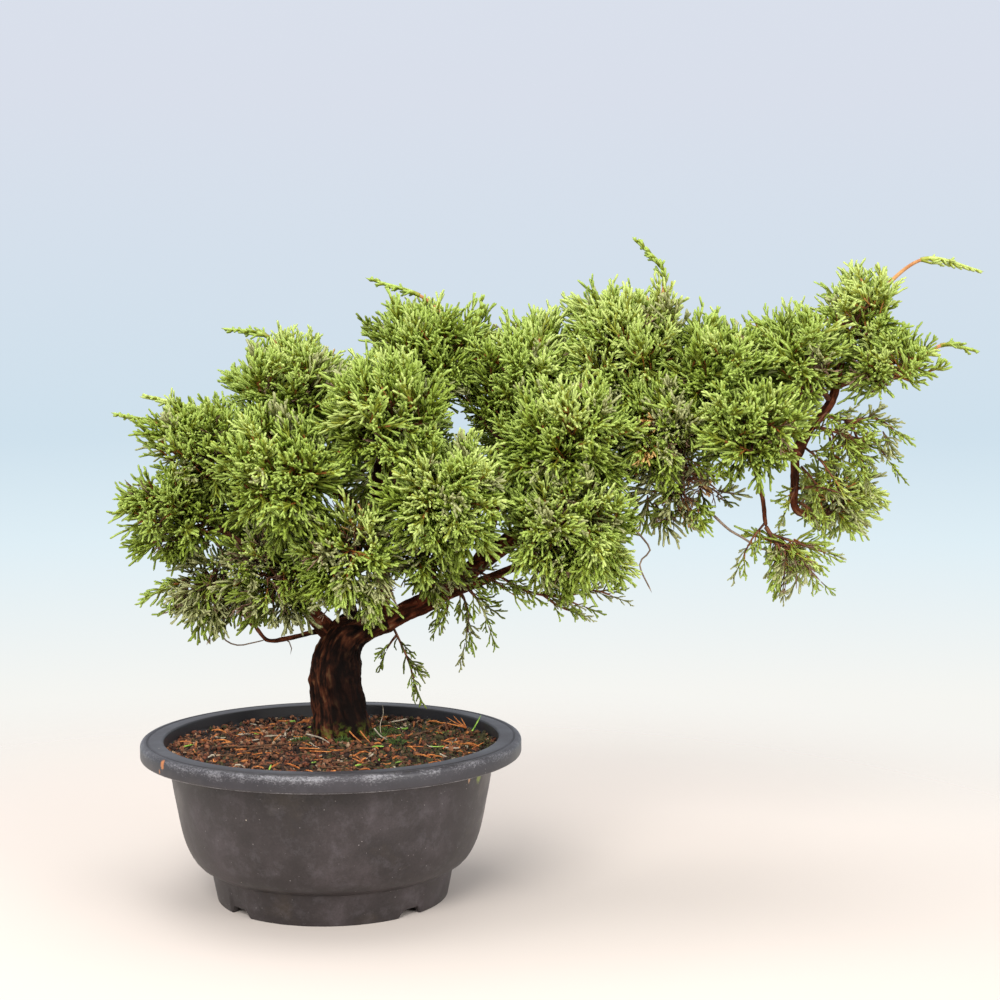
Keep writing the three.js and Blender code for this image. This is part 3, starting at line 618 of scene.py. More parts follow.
def make_piece(name: str, pattern: Pattern, materials: Sequence[bpy.types.Material],
               nodes: Sequence[str], smooth: bool = True) -> None:
    """Turns a pattern in mm into an object that rides on the part.

    Args:
        name: The object's name.
        pattern: Its mesh.
        materials: Its finishes, by number.
        nodes: The CAD nodes that it stands for.
        smooth: Whether its faces are shaded smooth.
    """
    mesh = bpy.data.meshes.new(name)
    count = len(pattern.corners)
    mesh.vertices.add(len(pattern.points))
    mesh.vertices.foreach_set("co", (pattern.points * MM).astype(np.float32).ravel())
    mesh.loops.add(3 * count)
    mesh.loops.foreach_set("vertex_index", pattern.corners.astype(np.int32).ravel())
    mesh.polygons.add(count)
    mesh.polygons.foreach_set("loop_start", np.arange(0, 3 * count, 3, dtype=np.int32))
    mesh.polygons.foreach_set("material_index", pattern.finish.astype(np.int32))
    for material in materials:
        mesh.materials.append(material)
    mesh.update(calc_edges=True)
    mesh.validate()
    place_piece(name, mesh, nodes, smooth)


def place_piece(name: str, mesh: bpy.types.Mesh, nodes: Sequence[str],
                smooth: bool = True) -> None:
    """Puts a finished mesh in the scene and says what it stands for.

    Args:
        name: The object's name.
        mesh: Its mesh, in metres.
        nodes: The CAD nodes that it stands for.
        smooth: Whether its faces are shaded smooth.
    """
    mesh.polygons.foreach_set("use_smooth", np.full(len(mesh.polygons), smooth))
    piece = put(name, mesh)
    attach(piece, "root")
    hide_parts(*nodes)
    triangles = sum(len(face.vertices) - 2 for face in mesh.polygons)
    LOG.info("%s: %d triangles, stands for %d nodes", name, triangles, len(nodes))


# The pot.

def bowl_line(rows: Sequence[tuple[float, float]], spacing: float) -> list[tuple[float, float]]:
    """Draws a smooth side through pairs of radius and height, and gives pairs about so far apart."""
    line = smooth_line([(r, 0.0, z) for r, z in rows], spacing)
    return [(float(x), float(z)) for x, _, z in line]


@dataclass
class Pot:
    """The turned bowl on its foot ring, with notches under the ring and drain holes in the floor."""

    steps: int = 200
    wall: float = 3.0
    rim_radius: float = 120.0
    rim_top: float = 101.5
    rim_width: float = 14.5
    lip_height: float = 10.5
    groove: tuple[float, float, float] = (115.5, 1.8, 1.2)  # radius, width, depth
    side: tuple[tuple[float, float], ...] = ((77.7, 20), (85.5, 25), (92.4, 37), (98.5, 64), (103, 91))
    foot: tuple[float, float] = (73.0, 69.5)
    foot_edge: float = 1.2  # the ring's lower edge ends at this height
    shoulder: Place = (76.9, 19.6, 0.4)
    ledge: tuple[float, float] = (105.0, 94.0)
    floor: tuple[float, float] = (5.0, 8.0)
    pad_radius: float = 20.0
    notch_angles: tuple[float, float] = (45.0, 135.0)  # from the right, mirrored to the front
    notch_reach: tuple[float, float, float, float] = (-7.2, -6.1, 3.6, 7.2)  # degrees, steep side first
    notch_height: float = 4.5
    drain: tuple[int, float, float] = (6, 5.5, 44.0)  # count, radius, ring
    drill: float = 8.0  # the length of the solids that cut the drain holes
    sharp: float = 40.0  # edges that turn more than this look sharp
    finish: ScuffedPolypropylene = field(default_factory=ScuffedPolypropylene)

    def outline(self) -> list[Place]:
        """Lists the section's corners from the middle of the underside round to the middle of the floor.

        Returns:
            Radius, height and rounding of each corner.
        """
        outer, inner = self.foot
        under, top = self.floor
        middle, width, depth = self.groove
        ring = self.rim_radius
        side = bowl_line(self.side, 4.0)
        rows = [(0, 0, 0), (self.pad_radius, 0, 0.4), (self.pad_radius, under, 0), (inner, under, 0),
                (inner, 0.0, 0.5), (outer, 0.0, 0.6), self.shoulder]
        rows += [(side[0][0], side[0][1], 0.4)] + [(r, z, 0) for r, z in side[1:]]
        rows += [(ring, self.rim_top - self.lip_height, 1.5), (ring, self.rim_top, 3.0),
                 (middle + width / 2, self.rim_top, 0.5), (middle, self.rim_top - depth, 0.4),
                 (middle - width / 2, self.rim_top, 0.5), (ring - self.rim_width, self.rim_top, 1.2)]
        rows += [(*self.ledge, 1.0)] + [(r - self.wall, z, 0) for r, z in reversed(side[1:])]
        rows += [(outer - self.wall, top, 1.5), (0, top, 0)]
        return rows

    def build(self) -> None:
        """Turns, notches and drills the pot."""
        bm = turned_solid(self.outline(), self.steps)
        self.notch(bm)
        bmesh.ops.recalc_face_normals(bm, faces=bm.faces)
        mesh = self.drilled(finished("pot_bowl", in_metres(bm)))
        mesh.materials.clear()
        mesh.materials.append(self.finish.material())
        mesh.set_sharp_from_angle(angle=math.radians(self.sharp))
        place_piece("pot_bowl", mesh, ["pot"])

    def notch(self, bm: bmesh.types.BMesh) -> None:
        """Raises the foot ring's lower edge into notches, each with a steep and a sloping side.

        Args:
            bm: The turned bowl.
        """
        outer, inner = self.foot
        for vert in bm.verts:
            x, y, z = vert.co
            if z > self.foot_edge or not inner - 1 < math.hypot(x, y) < outer + 1:
                continue
            lift = 0.0
            for angle in self.notch_angles:
                turn = math.degrees(math.atan2(abs(y), x)) - angle
                turn = -turn if angle < 90 else turn
                lift = max(lift, float(np.interp(-turn, self.notch_reach, (0, 1, 1, 0))))
            vert.co.z += lift * self.notch_height

    def drilled(self, mesh: bpy.types.Mesh) -> bpy.types.Mesh:
        """Cuts the drain holes through the floor.

        Args:
            mesh: The bowl.
        Returns:
            The bowl with its holes.
        """
        count, radius, ring = self.drain
        level = sum(self.floor) / 2
        drills = bmesh.new()
        for k in range(count):
            angle = 2 * math.pi * k / count
            at = Vector((ring * math.cos(angle), ring * math.sin(angle), level)) * MM
            bmesh.ops.create_cone(drills, cap_ends=True, segments=32, radius1=radius * MM,
                                  radius2=radius * MM, depth=self.drill * MM, matrix=Matrix.Translation(at))
        cutter, bowl = put("drills", finished("drills", drills)), put("undrilled", mesh)
        cut = bowl.modifiers.new("cut", "BOOLEAN")
        cut.operation, cut.object, cut.solver = "DIFFERENCE", cutter, "EXACT"
        result = bpy.data.meshes.new_from_object(bowl.evaluated_get(bpy.context.evaluated_depsgraph_get()))
        for item in (cutter, bowl):
            bpy.data.objects.remove(item)
        result.name = "pot_bowl"
        return result


# The soil.

class Litter(Choice):
    """What lies on the soil: name, dark colour, light colour and the size of its spots in mm."""

    TAN = ("baked_clay_tan", "5c3721", "976443", 2.0)
    RUST = ("baked_clay_rust", "482011", "814a2e", 2.0)
    DARK = ("pine_bark_chip", "170d08", "3d2518", 2.0)
    PALE = ("pumice_grain", "7c6046", "b39476", 1.5)
    # dark mossy grains that also stand for the plant's painted shadow
    MOSSY_SHADED = ("grain_mossy_in_painted_shade", "2a2613", "504a24", 1.5)
    ORANGE = ("dead_needle_orange", "9a501e", "d88a48", 3.0)
    BROWN = ("dead_twig_brown", "38230f", "6c4a30", 3.0)
    STRAW = ("dead_twig_pale", "9a8a74", "c9bba3", 3.0)
    MOSS = ("moss_cushion", "263613", "4f6424", 3.0)
    BLADE = ("fallen_green_tip", "6f9a33", "a9cf58", 3.0)

    def finish(self) -> Mottled:
        """The finish of this kind of litter."""
        return Mottled(*self.value)


@dataclass
class Soil:
    """A mound of grains with dead needles, twigs and moss, on a bed that fills the pot."""

    trunk_at: tuple[float, float] = (3.5, 30.0)
    trunk_radius: float = 17.5
    edge: tuple[float, float] = (103.9, 93.6)
    levels: tuple[tuple[float, float], ...] = ((0, 95), (60, 95))  # radii and heights within the edge
    foot: tuple[float, float] = (69.6, 8.3)  # radius and height of the bed's lower edge
    neck: tuple[float, float] = (99.6, 90.4)
    side_top: float = 88.0  # the bed follows the pot's side up to this height
    wall: float = 3.4  # how far it keeps inside the pot's outer side
    below: float = 1.3  # how far it lies below the mound's surface
    tuck: tuple[float, float] = (1.2, 1.4)  # how far its edge is inside and below the mound's
    roughness: tuple[float, float] = (0.7, 6.0)  # height and width of the mound's small lumps
    dip: float = 1.9  # how deep the shallow dips between the swells are
    dip_spans: tuple[float, float] = (46, 42)
    dip_starts: tuple[float, float] = (1, 2)
    dip_clear: tuple[float, float] = (26, 38)  # the dips fade out this near the trunk
    dip_wall: float = 6.0  # and this near the wall
    grains: int = 7600
    grain_size: tuple[float, float] = (0.85, 2.6)  # half-widths
    grain_shapes: int = 9
    needle_shapes: int = 6
    heaped: tuple[int, float, float] = (620, 99.5, 104.3)  # grains against the wall, between these radii
    shares: tuple[float, ...] = (0.26, 0.25, 0.34, 0.06, 0.09)
    mossy: tuple[float, float] = (15.0, 0.5)  # right of this place, this share of the grains is dark and mossy, partly painted shadow of the plant
    needles: int = 380
    needle_kinds: tuple[tuple[Litter, float], ...] = (
        (Litter.ORANGE, 0.42), (Litter.BROWN, 0.45), (Litter.STRAW, 0.09), (Litter.BLADE, 0.04))
    moss_at: tuple[Place, ...] = (  # place and half-width of each cushion
        (25, 22, 9), (30, 38, 10), (-22, 10, 6), (40, 8, 6), (6, 8, 5))
    moss_blades: float = 11.0  # to a mm of a cushion's half-width
    moss_height: float = 2.6
    twigs: tuple[tuple[Litter, tuple[Place, ...], float], ...] = (  # kind, route and half-width
        (Litter.ORANGE, ((-19, -17, 96.4), (-5, -22, 97)), 0.55),
        (Litter.ORANGE, ((-12, -25, 96.2), (3, -29, 96.6)), 0.5),
        (Litter.ORANGE, ((10, 10, 101.5), (14, 4, 99), (19, -2, 96.6)), 0.5),
        (Litter.ORANGE, ((13, 20, 104), (19, 8, 99.5), (24, -1, 96.4)), 0.6),
        (Litter.STRAW, ((-18, 14, 99), (-8, 4, 98.6), (-1, -6, 97)), 0.6),
        (Litter.STRAW, ((25, 22, 101), (30, 10, 98.5), (35, 3, 97.4)), 0.5),
        (Litter.BROWN, ((-75, -8, 95.2), (-50, -16, 97.4), (-22, -8, 98), (-14, -2, 98)), 0.7),
        (Litter.BROWN, ((-58, -34, 94.8), (-42, -26, 98.6), (-26, -36, 96.4)), 0.6),
        (Litter.BROWN, ((50, 18, 97), (62, 30, 99), (76, 40, 103)), 0.6),
        (Litter.ORANGE, ((84, 50, 96), (74, 52, 98), (66, 54, 99)), 0.6),
        (Litter.ORANGE, ((84, 50, 96), (76, 54, 99), (70, 58, 102)), 0.5),
        (Litter.ORANGE, ((84, 50, 96), (79, 55, 99), (75, 60, 102.5)), 0.5),
        (Litter.ORANGE, ((84, 50, 96), (82, 55, 99), (80, 60, 101)), 0.5),
        (Litter.BLADE, ((88, 44, 95), (91, 45, 100), (94, 47, 105.5)), 0.6),
        (Litter.STRAW, ((29, 26, 96), (28.5, 26, 103), (30.5, 27, 110), (30, 27.5, 116)), 0.28),
    )

    def level(self, x: float, y: float) -> float:
        """Gives the height of the mound.

        Args:
            x: The place across.
            y: The place away from the front.
        Returns:
            The height there.
        """
        rings, heights = zip(*self.levels, self.edge)
        waves = [math.sin(2 * math.pi * place / span + start)
                 for place, span, start in zip((x, y), self.dip_spans, self.dip_starts)]
        clear = np.interp(math.hypot(x - self.trunk_at[0], y - self.trunk_at[1]), self.dip_clear, (0, 1))
        at_wall = np.interp(math.hypot(x, y), (self.edge[0] - self.dip_wall, self.edge[0]), (1, 0))
        dip = self.dip * (0.5 + 0.5 * waves[0] * waves[1]) * clear * at_wall
        high, wide = self.roughness
        rough = high * noise.noise(Vector((x / wide, y / wide, 8.4)))
        return float(np.interp(math.hypot(x, y), rings, heights) - dip) + rough

    def bed(self) -> None:
        """Builds the bed that fills the pot under the grains."""
        top = 93.0
        side = [(r - self.wall, z) for r, z in bowl_line(Pot().side, 8.0) if z < self.side_top]
        edge = tuple(np.subtract(self.edge, self.tuck))
        rows = [(0, self.foot[1]), self.foot, *side, self.neck, edge]
        rows += [(r, top) for r in np.linspace(100, 2, 50)] + [(0, top)]
        bm = turned_solid([(r, z, 0) for r, z in rows], 144)
        for vert in bm.verts:
            if vert.co.z > top - 0.5:
                vert.co.z = self.level(vert.co.x, vert.co.y) - self.below
        bmesh.ops.recalc_face_normals(bm, faces=bm.faces)
        mesh = finished("soil_bed", in_metres(bm))
        mesh.materials.append(Mottled("damp_humus", "120b06", "33220f", 2.5, depth=0.6).material())
        place_piece("soil_bed", mesh, ["soil"])

    def spots(self, rng: np.random.Generator, count: int, radius: float) -> np.ndarray:
        """Picks places on the soil clear of the trunk.

        Args:
            rng: The source of chance.
            count: How many places are tried.
            radius: How far from the middle they may be.
        Returns:
            The places, with the mound's height there.
        """
        turn, reach = rng.uniform(0, 2 * math.pi, count), radius * np.sqrt(rng.random(count))
        x, y = reach * np.cos(turn), reach * np.sin(turn)
        clear = np.hypot(x - self.trunk_at[0], y - self.trunk_at[1]) > self.trunk_radius
        return np.array([(a, b, self.level(a, b)) for a, b in zip(x[clear], y[clear])])

    def grain_patterns(self, rng: np.random.Generator) -> list[Pattern]:
        """Makes some crumbly grains of 20 faces, every third of them a flat chip.

        Args:
            rng: The source of chance.
        Returns:
            The grains, each about 2 mm across.
        """
        patterns = []
        for number in range(self.grain_shapes):
            bm = bmesh.new()
            bmesh.ops.create_icosphere(bm, subdivisions=1, radius=1.0)
            for vert in bm.verts:
                vert.co *= rng.uniform(0.62, 1.15)
            flat = 0.55 if number % 3 == 0 else 1.0
            size = rng.uniform((0.75, 0.75, 0.55 * flat), (1.35, 1.05, 0.85 * flat))
            bmesh.ops.scale(bm, vec=size, verts=bm.verts)
            patterns.append(Pattern.read(bm))
        return patterns

    def grain_turn(self, rng: np.random.Generator) -> np.ndarray:
        """Turns and sizes a grain by chance, small ones more often.

        Args:
            rng: The source of chance.
        Returns:
            The 3 by 3 matrix.
        """
        turn = turn_to(unit(rng.normal(size=3)), rng.uniform(0, 6.28))
        small, large = self.grain_size
        return turn * (small + (large - small) * rng.random() ** 2.2)

    def needle_patterns(self, rng: np.random.Generator) -> list[Pattern]:
        """Makes some bent needles a unit long.

        Args:
            rng: The source of chance.
        Returns:
            The needles, which lie along x.
        """
        patterns = []
        for _ in range(self.needle_shapes):
            bend, lift = rng.uniform(-0.13, 0.13), rng.uniform(0, 0.1)
            line = np.array([(-0.5, 0, 0), (-0.1, bend, lift), (0.25, bend, lift), (0.5, 0, 0)])
            patterns.append(cord(line, (0.026, 0.034, 0.03), 4))
        return patterns

    def needle_turn(self, rng: np.random.Generator) -> np.ndarray:
        """Turns and sizes a needle by chance, so that it lies about level.

        Args:
            rng: The source of chance.
        Returns:
            The 3 by 3 matrix.
        """
        heading, tilt = rng.uniform(0, 6.28), rng.normal(0, 0.12)
        ahead = np.array([math.cos(heading), math.sin(heading), tilt])
        u, v = square_to(unit(ahead), rng.uniform(0, 6.28))
        length, width = rng.uniform(4.5, 15), rng.uniform(11, 19)
        return np.stack([ahead * length, u * width, v * width], axis=1)

    def strew(self, rng: np.random.Generator, places: np.ndarray, kinds: np.ndarray, shapes: int,
              patterns: Callable[[np.random.Generator], list[Pattern]],
              turn: Callable[[np.random.Generator], np.ndarray]) -> list[Pattern]:
        """Lays shapes on places by chance.

        Args:
            rng: The source of chance.
            places: Where they lie.
            kinds: The number of the litter of each.
            shapes: How many shapes there are.
            patterns: Makes the shapes from the source of chance.
            turn: Makes the matrix of one of them from the source of chance.
        Returns:
            All that are laid, shape by shape.
        """
        picks = rng.integers(0, shapes, len(places))
        layers = []
        for number, pattern in enumerate(patterns(rng)):
            chosen = np.flatnonzero(picks == number)
            turns = np.array([turn(rng) for _ in chosen])
            layers.append(pattern.set_out(turns, places[chosen], kinds[chosen]))
        return layers

    def moss(self, rng: np.random.Generator) -> Pattern:
        """Grows cushions of moss beside the trunk.

        Args:
            rng: The source of chance.
        Returns:
            The moss.
        """
        blade = cord(np.array([(0, 0, -0.3), (0.06, 0, 0.5), (0.2, 0, 1.0)]), (0.16, 0.13), 3)
        places, turns = [], []
        for x, y, radius in self.moss_at:
            for _ in range(int(self.moss_blades * radius)):
                turn, reach = rng.uniform(0, 2 * math.pi), radius * math.sqrt(rng.random())
                a, b = x + reach * math.cos(turn), y + reach * math.sin(turn)
                dome = self.moss_height * (1 - (reach / radius) ** 2)
                places.append((a, b, self.level(a, b) + 0.4 + dome * rng.uniform(0.4, 1)))
                out = unit(np.array([math.cos(turn) * reach / radius, math.sin(turn) * reach / radius, 0.7])
                           + rng.normal(0, 0.3, 3))
                turns.append(turn_to(out, rng.uniform(0, 6.28)) * rng.uniform(1.5, 2.8))
        return blade.set_out(np.array(turns), np.array(places), np.full(len(places), Litter.MOSS.number))

    def litter(self) -> None:
        """Scatters the grains, needles, twigs and moss over the bed."""
        rng = np.random.default_rng(11)
        places = self.spots(rng, self.grains, self.edge[0] - 0.8)
        places[:, 2] += rng.uniform(-2.5, 0.8, len(places))
        count, near, far = self.heaped
        turn, reach = rng.uniform(0, 2 * math.pi, count), rng.uniform(near, far, count)
        heap = [reach * np.cos(turn), reach * np.sin(turn), self.edge[1] + rng.uniform(-0.6, 1.3, count)]
        places = np.concatenate([places, np.stack(heap, axis=1)])
        kinds = rng.choice(len(self.shares), len(places), p=self.shares)
        # Grains right of the trunk turn dark and mossy: moss, and painted shadow of the plant.
        beyond, share = self.mossy
        right = places[:, 0] > beyond + rng.normal(0, 12, len(places))
        kinds[right & (rng.random(len(places)) < share)] = Litter.MOSSY_SHADED.number
        layers = self.strew(rng, places, kinds, self.grain_shapes, self.grain_patterns, self.grain_turn)

        places = self.spots(rng, self.needles, self.edge[0] - 7)
        places[:, 2] += rng.uniform(0.5, 1.7, len(places))
        kinds = rng.choice([kind.number for kind, _ in self.needle_kinds], len(places),
                           p=[share for _, share in self.needle_kinds])
        layers += self.strew(rng, places, kinds, self.needle_shapes, self.needle_patterns, self.needle_turn)

        for kind, points, radius in self.twigs:
            twig = taper(smooth_line(points, 3.0), radius, 0.6 * radius, 5)
            twig.finish[:] = kind.number
            layers.append(twig)
        layers.append(self.moss(rng))
        materials = [kind.finish().material() for kind in Litter]
        make_piece("soil_litter", Pattern.join(layers), materials, ["soil"], smooth=False)


# Trunk and limbs.

@dataclass
class Limb:
    """A tapering limb that leaves its carrier at a share of its length."""

    name: str
    carrier: str
    share: float
    bends: tuple[Place, ...]
    radii: tuple[float, float]
    line: np.ndarray = field(default_factory=lambda: np.zeros((2, 3)))

    def point(self, share: float) -> np.ndarray:
        """Finds a point of the limb's line.

        Args:
            share: Its place as a share of the limb's length.
        Returns:
            The point.
        """
        place = share * (len(self.line) - 1)
        i = min(int(place), len(self.line) - 2)
        return self.line[i] + (self.line[i + 1] - self.line[i]) * (place - i)

    def radius(self, share: float) -> float:
        """Gives the limb's half-width at a share of its length."""
        return float(np.interp(share, np.linspace(0, 1, len(self.radii)), self.radii))


TRUNK = Limb(
    "trunk", "", 0,
    ((3.5, 30, 94.6), (2, 28.5, 113), (0, 27, 135), (2, 25.5, 151), (9, 23.5, 163), (20, 21, 168.5),
     (36, 17, 172.5)),
    (18.6, 17.2, 16.6, 16.2, 13.6, 10, 7),
)
LIMBS = (
    Limb("arm_limb", "trunk", 0.97,
         ((50, 14, 180.5), (64, 11, 187), (100, 13, 215), (150, 14, 250), (198, 10, 280)), (6.9, 5.2)),
    Limb("arm_outer_limb", "arm_limb", 0.985, ((238, 6, 287), (296, 0, 279)), (5.1, 4.7)),
    Limb("tip_limb", "arm_outer_limb", 0.97, ((300, 0, 295), (314, 1, 312), (321, 2, 338)), (4, 2.4)),
    Limb("crown_limb", "trunk", 0.93, ((32, 14, 200), (28, 11, 240), (31, 11, 292)), (5, 3)),
    Limb("left_limb", "trunk", 0.6, ((-16, 25.5, 177), (-32, 22, 198), (-58, 15, 222)), (6.6, 3)),
    Limb("left_twig_limb", "left_limb", 0.16, ((-33, 26, 159), (-44, 24, 158.5), (-52, 21, 168)), (1.9, 1.3)),
    Limb("left_high_limb", "crown_limb", 0.5, ((2, 7, 256), (-40, 2, 272)), (3.6, 2.2)),
    Limb("low_limb", "arm_limb", 0.17, ((84, 5, 195), (103, 0, 203), (125, -6, 213)), (4, 2.4)),
    Limb("mid_limb", "arm_limb", 0.38, ((104, 12, 255), (108, 10, 300)), (4.4, 2.6)),
    Limb("front_limb", "arm_limb", 0.13, ((64, -14, 208), (70, -36, 230)), (3.6, 2.4)),
    Limb("right_crown_limb", "arm_limb", 0.99, ((211, 10, 298), (198, 8, 318)), (4, 2.6)),
    Limb("back_left_limb", "trunk", 0.75, ((2, 46, 196), (-22, 60, 222)), (4.4, 2.6)),
    Limb("back_limb", "crown_limb", 0.4, ((34, 38, 244), (38, 58, 258)), (3.4, 2.4)),
    Limb("back_right_limb", "arm_limb", 0.5, ((124, 38, 240), (131, 50, 252)), (3.6, 2.4)),
    Limb("arm_back_limb", "arm_outer_limb", 0.72, ((274, 22, 292), (278, 34, 299)), (3, 2)),
    Limb("hook_limb", "arm_outer_limb", 0.96, ((292, 0, 262), (293, 0, 245), (311, 2, 239)), (3.4, 2)),
    Limb("low_twig_limb", "arm_outer_limb", 0.66, ((271, 0, 256), (274, 0, 234)), (1.8, 1.3)),
)


@dataclass(frozen=True)
class Knob:
    """A swelling of the trunk: its middle, its half-width and how far it stands out."""

    at: Place
    width: float
    height: float


@dataclass
class Bark:
    """Meshes of trunk and limbs with the relief of stringy bark."""

    trunk_step: float = 0.9
    trunk_sides: int = 108
    limb_step: float = 1.7
    foot_lobes: tuple[int, float, float] = (5, 0.11, 0.16)  # count, depth and height as shares
    flute: float = 0.045
    collar: tuple[float, float] = (0.6, 1.1)  # how much a limb swells at its foot, and over how many radii
    carried_on: float = 0.96  # a limb that leaves its carrier beyond this share has no collar
    rounding: float = 3.0  # the length of a limb's rounded end
    twist: float = 0.011  # radians a mm
    waves: tuple[tuple[float, float], ...] = (  # width and length of the lumps, strips, strings and flakes
        (9, 17), (4.2, 34), (1.7, 13), (2.4, 3.4))
    heights: tuple[float, ...] = (1.6, 0.85, 0.25, 0.42)  # of the same on a limb of full size
    full_size: float = 14.0  # a limb's half-width from which on its relief has its full height
    knobs: tuple[Knob, ...] = (
        Knob((-16.5, 24, 133), 2.6, 1.8), Knob((19, 24, 118), 6, 1.2), Knob((-10, 13, 103), 4.5, 2.6),
        Knob((11, 12, 100), 5, 2.8), Knob((-15, 34, 99), 5, 1.6), Knob((15, 40, 101), 5, 1.6),
    )
    # The trunk's colours are darker than the limbs', partly damp and partly painted shade under the crown.
    trunk_finish: FibrousBark = field(default_factory=lambda: FibrousBark(
        "juniper_trunk_bark_fibrous", "090504", "24140d", "562e1d", "80603f", moss_below=108, damp_and_shade=0.85))
    limb_finish: FibrousBark = field(default_factory=lambda: FibrousBark(
        "juniper_limb_bark_flaking", "190c08", "432417", "783f29", "a07655"))

    def relief(self, angle: float, along: float, radius: float, seed: float) -> tuple[float, float]:
        """Gives the bark's relief at a place on a limb.

        Args:
            angle: The place round the limb.
            along: The distance along it.
            radius: Its half-width there.
            seed: A number that differs from limb to limb.
        Returns:
            How far the bark stands out in mm, and its crest from 0 to 1.
        """
        turn = angle + self.twist * along
        x, y = radius * math.cos(turn), radius * math.sin(turn)
        size = min(1.0, radius / self.full_size)
        lump, strip, string, flake = (noise.noise(Vector((x / wide, y / wide, along / long + seed)))
                                      for wide, long in self.waves)
        strip = 1 - 2.2 * abs(strip)
        swell, ridge, fibre, scale = self.heights
        stands = (swell * size * lump + ridge * size ** 0.7 * (strip - 1) + fibre * size ** 0.5 * string
                  + scale * flake)
        return stands, min(1.0, max(0.0, 0.45 + 0.3 * strip + 0.4 * string + 0.2 * flake))

    def section(self, limb: Limb, share: float, angle: float) -> float:
        """Gives the trunk's lobes and flutes.

        Args:
            limb: The limb.
            share: The place along it.
            angle: The place round it.
        Returns:
            The share of its half-width there, which is 1 on any limb but the trunk.
        """
        if limb is not TRUNK:
            return 1.0
        count, depth, height = self.foot_lobes
        flare = max(0.0, 1 - share / height)
        flutes = self.flute * math.cos(3 * angle + 4 * share)
        return 1 + depth * flare * (0.6 + math.cos(count * angle)) + flutes

    def swelling(self, point: np.ndarray) -> float:
        """Gives how far the trunk's knobs lift a point of its bark."""
        return sum(k.height * math.exp(-float(np.sum((point - k.at) ** 2)) / (2 * k.width ** 2))
                   for k in self.knobs)

    def sleeve(self, limb: Limb, step: float, sides: int, seed: float) -> bmesh.types.BMesh:
        """Builds the bark of one limb by extruding ring after ring.

        Args:
            limb: The limb.
            step: How far apart the rings are.
            sides: How many corners a ring has.
            seed: A number that differs from limb to limb.
        Returns:
            The bark, with layers for its fibre coordinates, its crest, and its damp with painted shade.
        """
        bm = bmesh.new()
        fibre = bm.verts.layers.float_vector.new("fibre")
        crest = bm.verts.layers.float.new("crest")
        damp_and_shade = bm.verts.layers.float.new("damp_and_shade")
        line = smooth_line(limb.bends, step)
        _, us, vs = carried_frames(line)
        swell, reach = self.collar
        swell *= limb.share < self.carried_on
        ring = bmesh.ops.create_circle(bm, cap_ends=True, segments=sides, radius=1.0)["verts"]
        loop = bm.edges[:]
        for i, centre in enumerate(line):
            if i:
                grown = bmesh.ops.extrude_edge_only(bm, edges=loop)["geom"]
                ring = [g for g in grown if isinstance(g, bmesh.types.BMVert)]
                loop = [g for g in grown
                        if isinstance(g, bmesh.types.BMEdge) and set(g.verts) <= set(ring)]
            share = i / (len(line) - 1)
            along = share * step * (len(line) - 1)
            radius = limb.radius(share)
            if limb is not TRUNK:
                radius *= 1 + swell * math.exp(-along / (reach * limb.radii[0]))
                left = (1 - share) * len(line) * step
                radius *= min(1.0, math.sqrt(max(0.0, left / self.rounding) + 0.2))
            for k, vert in enumerate(ring):
                angle = 2 * math.pi * k / sides
                outward = us[i] * math.cos(angle) + vs[i] * math.sin(angle)
                stands, height = self.relief(angle, along, radius, seed)
                place = centre + outward * (radius * self.section(limb, share, angle) + stands)
                if limb is TRUNK:
                    place = place + outward * self.swelling(place)
                vert.co = Vector(place)
                vert[fibre] = (radius * math.cos(angle), radius * math.sin(angle), along + 40 * seed)
                vert[crest] = height
                vert[damp_and_shade] = self.damp_and_shade_share(place)
        bmesh.ops.contextual_create(bm, geom=loop)
        bmesh.ops.recalc_face_normals(bm, faces=bm.faces)
        return bm

    def damp_and_shade_share(self, place: np.ndarray) -> float:
        """Gives the bark's damp and painted shade: down the trunk's right front, under the arm, and at the
        foot.

        Args:
            place: A point of the bark.
        Returns:
            The darkening from 0 to 1.
        """
        x, y, z = place
        across = np.interp(x, (-8, 0), (0, 1)) * np.interp(y, (26, 38), (1, 0))
        return float(across * np.interp(z, (97, 108, 153, 163), (0.5, 1, 1, 0)))

    def join(self, name: str, sleeves: Sequence[bmesh.types.BMesh], finish: FibrousBark,
             nodes: Sequence[str]) -> None:
        """Joins the bark of several limbs into one piece.

        Args:
            name: The name of the piece and of its mesh.
            sleeves: The bark of each limb.
            finish: Its finish.
            nodes: The CAD nodes that it stands for.
        """
        whole = bmesh.new()
        for sleeve in sleeves:
            part = finished("sleeve", sleeve)
            whole.from_mesh(part)
            bpy.data.meshes.remove(part)
        mesh = finished(name, in_metres(whole))
        mesh.materials.append(finish.material())
        place_piece(name, mesh, nodes)

    def build(self, limbs: dict[str, Limb]) -> None:
        """Builds the bark of the trunk and of the limbs.

        Args:
            limbs: Trunk and limbs by name.
        """
        trunk = self.sleeve(TRUNK, self.trunk_step, self.trunk_sides, 0.0)
        self.join("trunk_bark", [trunk], self.trunk_finish, ["trunk"])
        others = [limb for limb in limbs.values() if limb is not TRUNK]
        sleeves = [self.sleeve(limb, self.limb_step, 12 + 2 * round(limb.radii[0]), 3.7 * (n + 1))
                   for n, limb in enumerate(others)]
        self.join("limb_bark", sleeves, self.limb_finish, [limb.name for limb in others])


def grown_limbs() -> dict[str, Limb]:
    """Lays the line of the trunk and of each limb, from carrier to carried.

    Returns:
        Trunk and limbs by name.
    """
    TRUNK.line = smooth_line(TRUNK.bends, 0.5)
    limbs = {"trunk": TRUNK}
    for limb in LIMBS:
        start = limbs[limb.carrier].point(limb.share)
        limb.bends = (tuple(start), *limb.bends)
        limb.line = smooth_line(limb.bends, 0.5)
        limbs[limb.name] = limb
    return limbs


# Foliage.

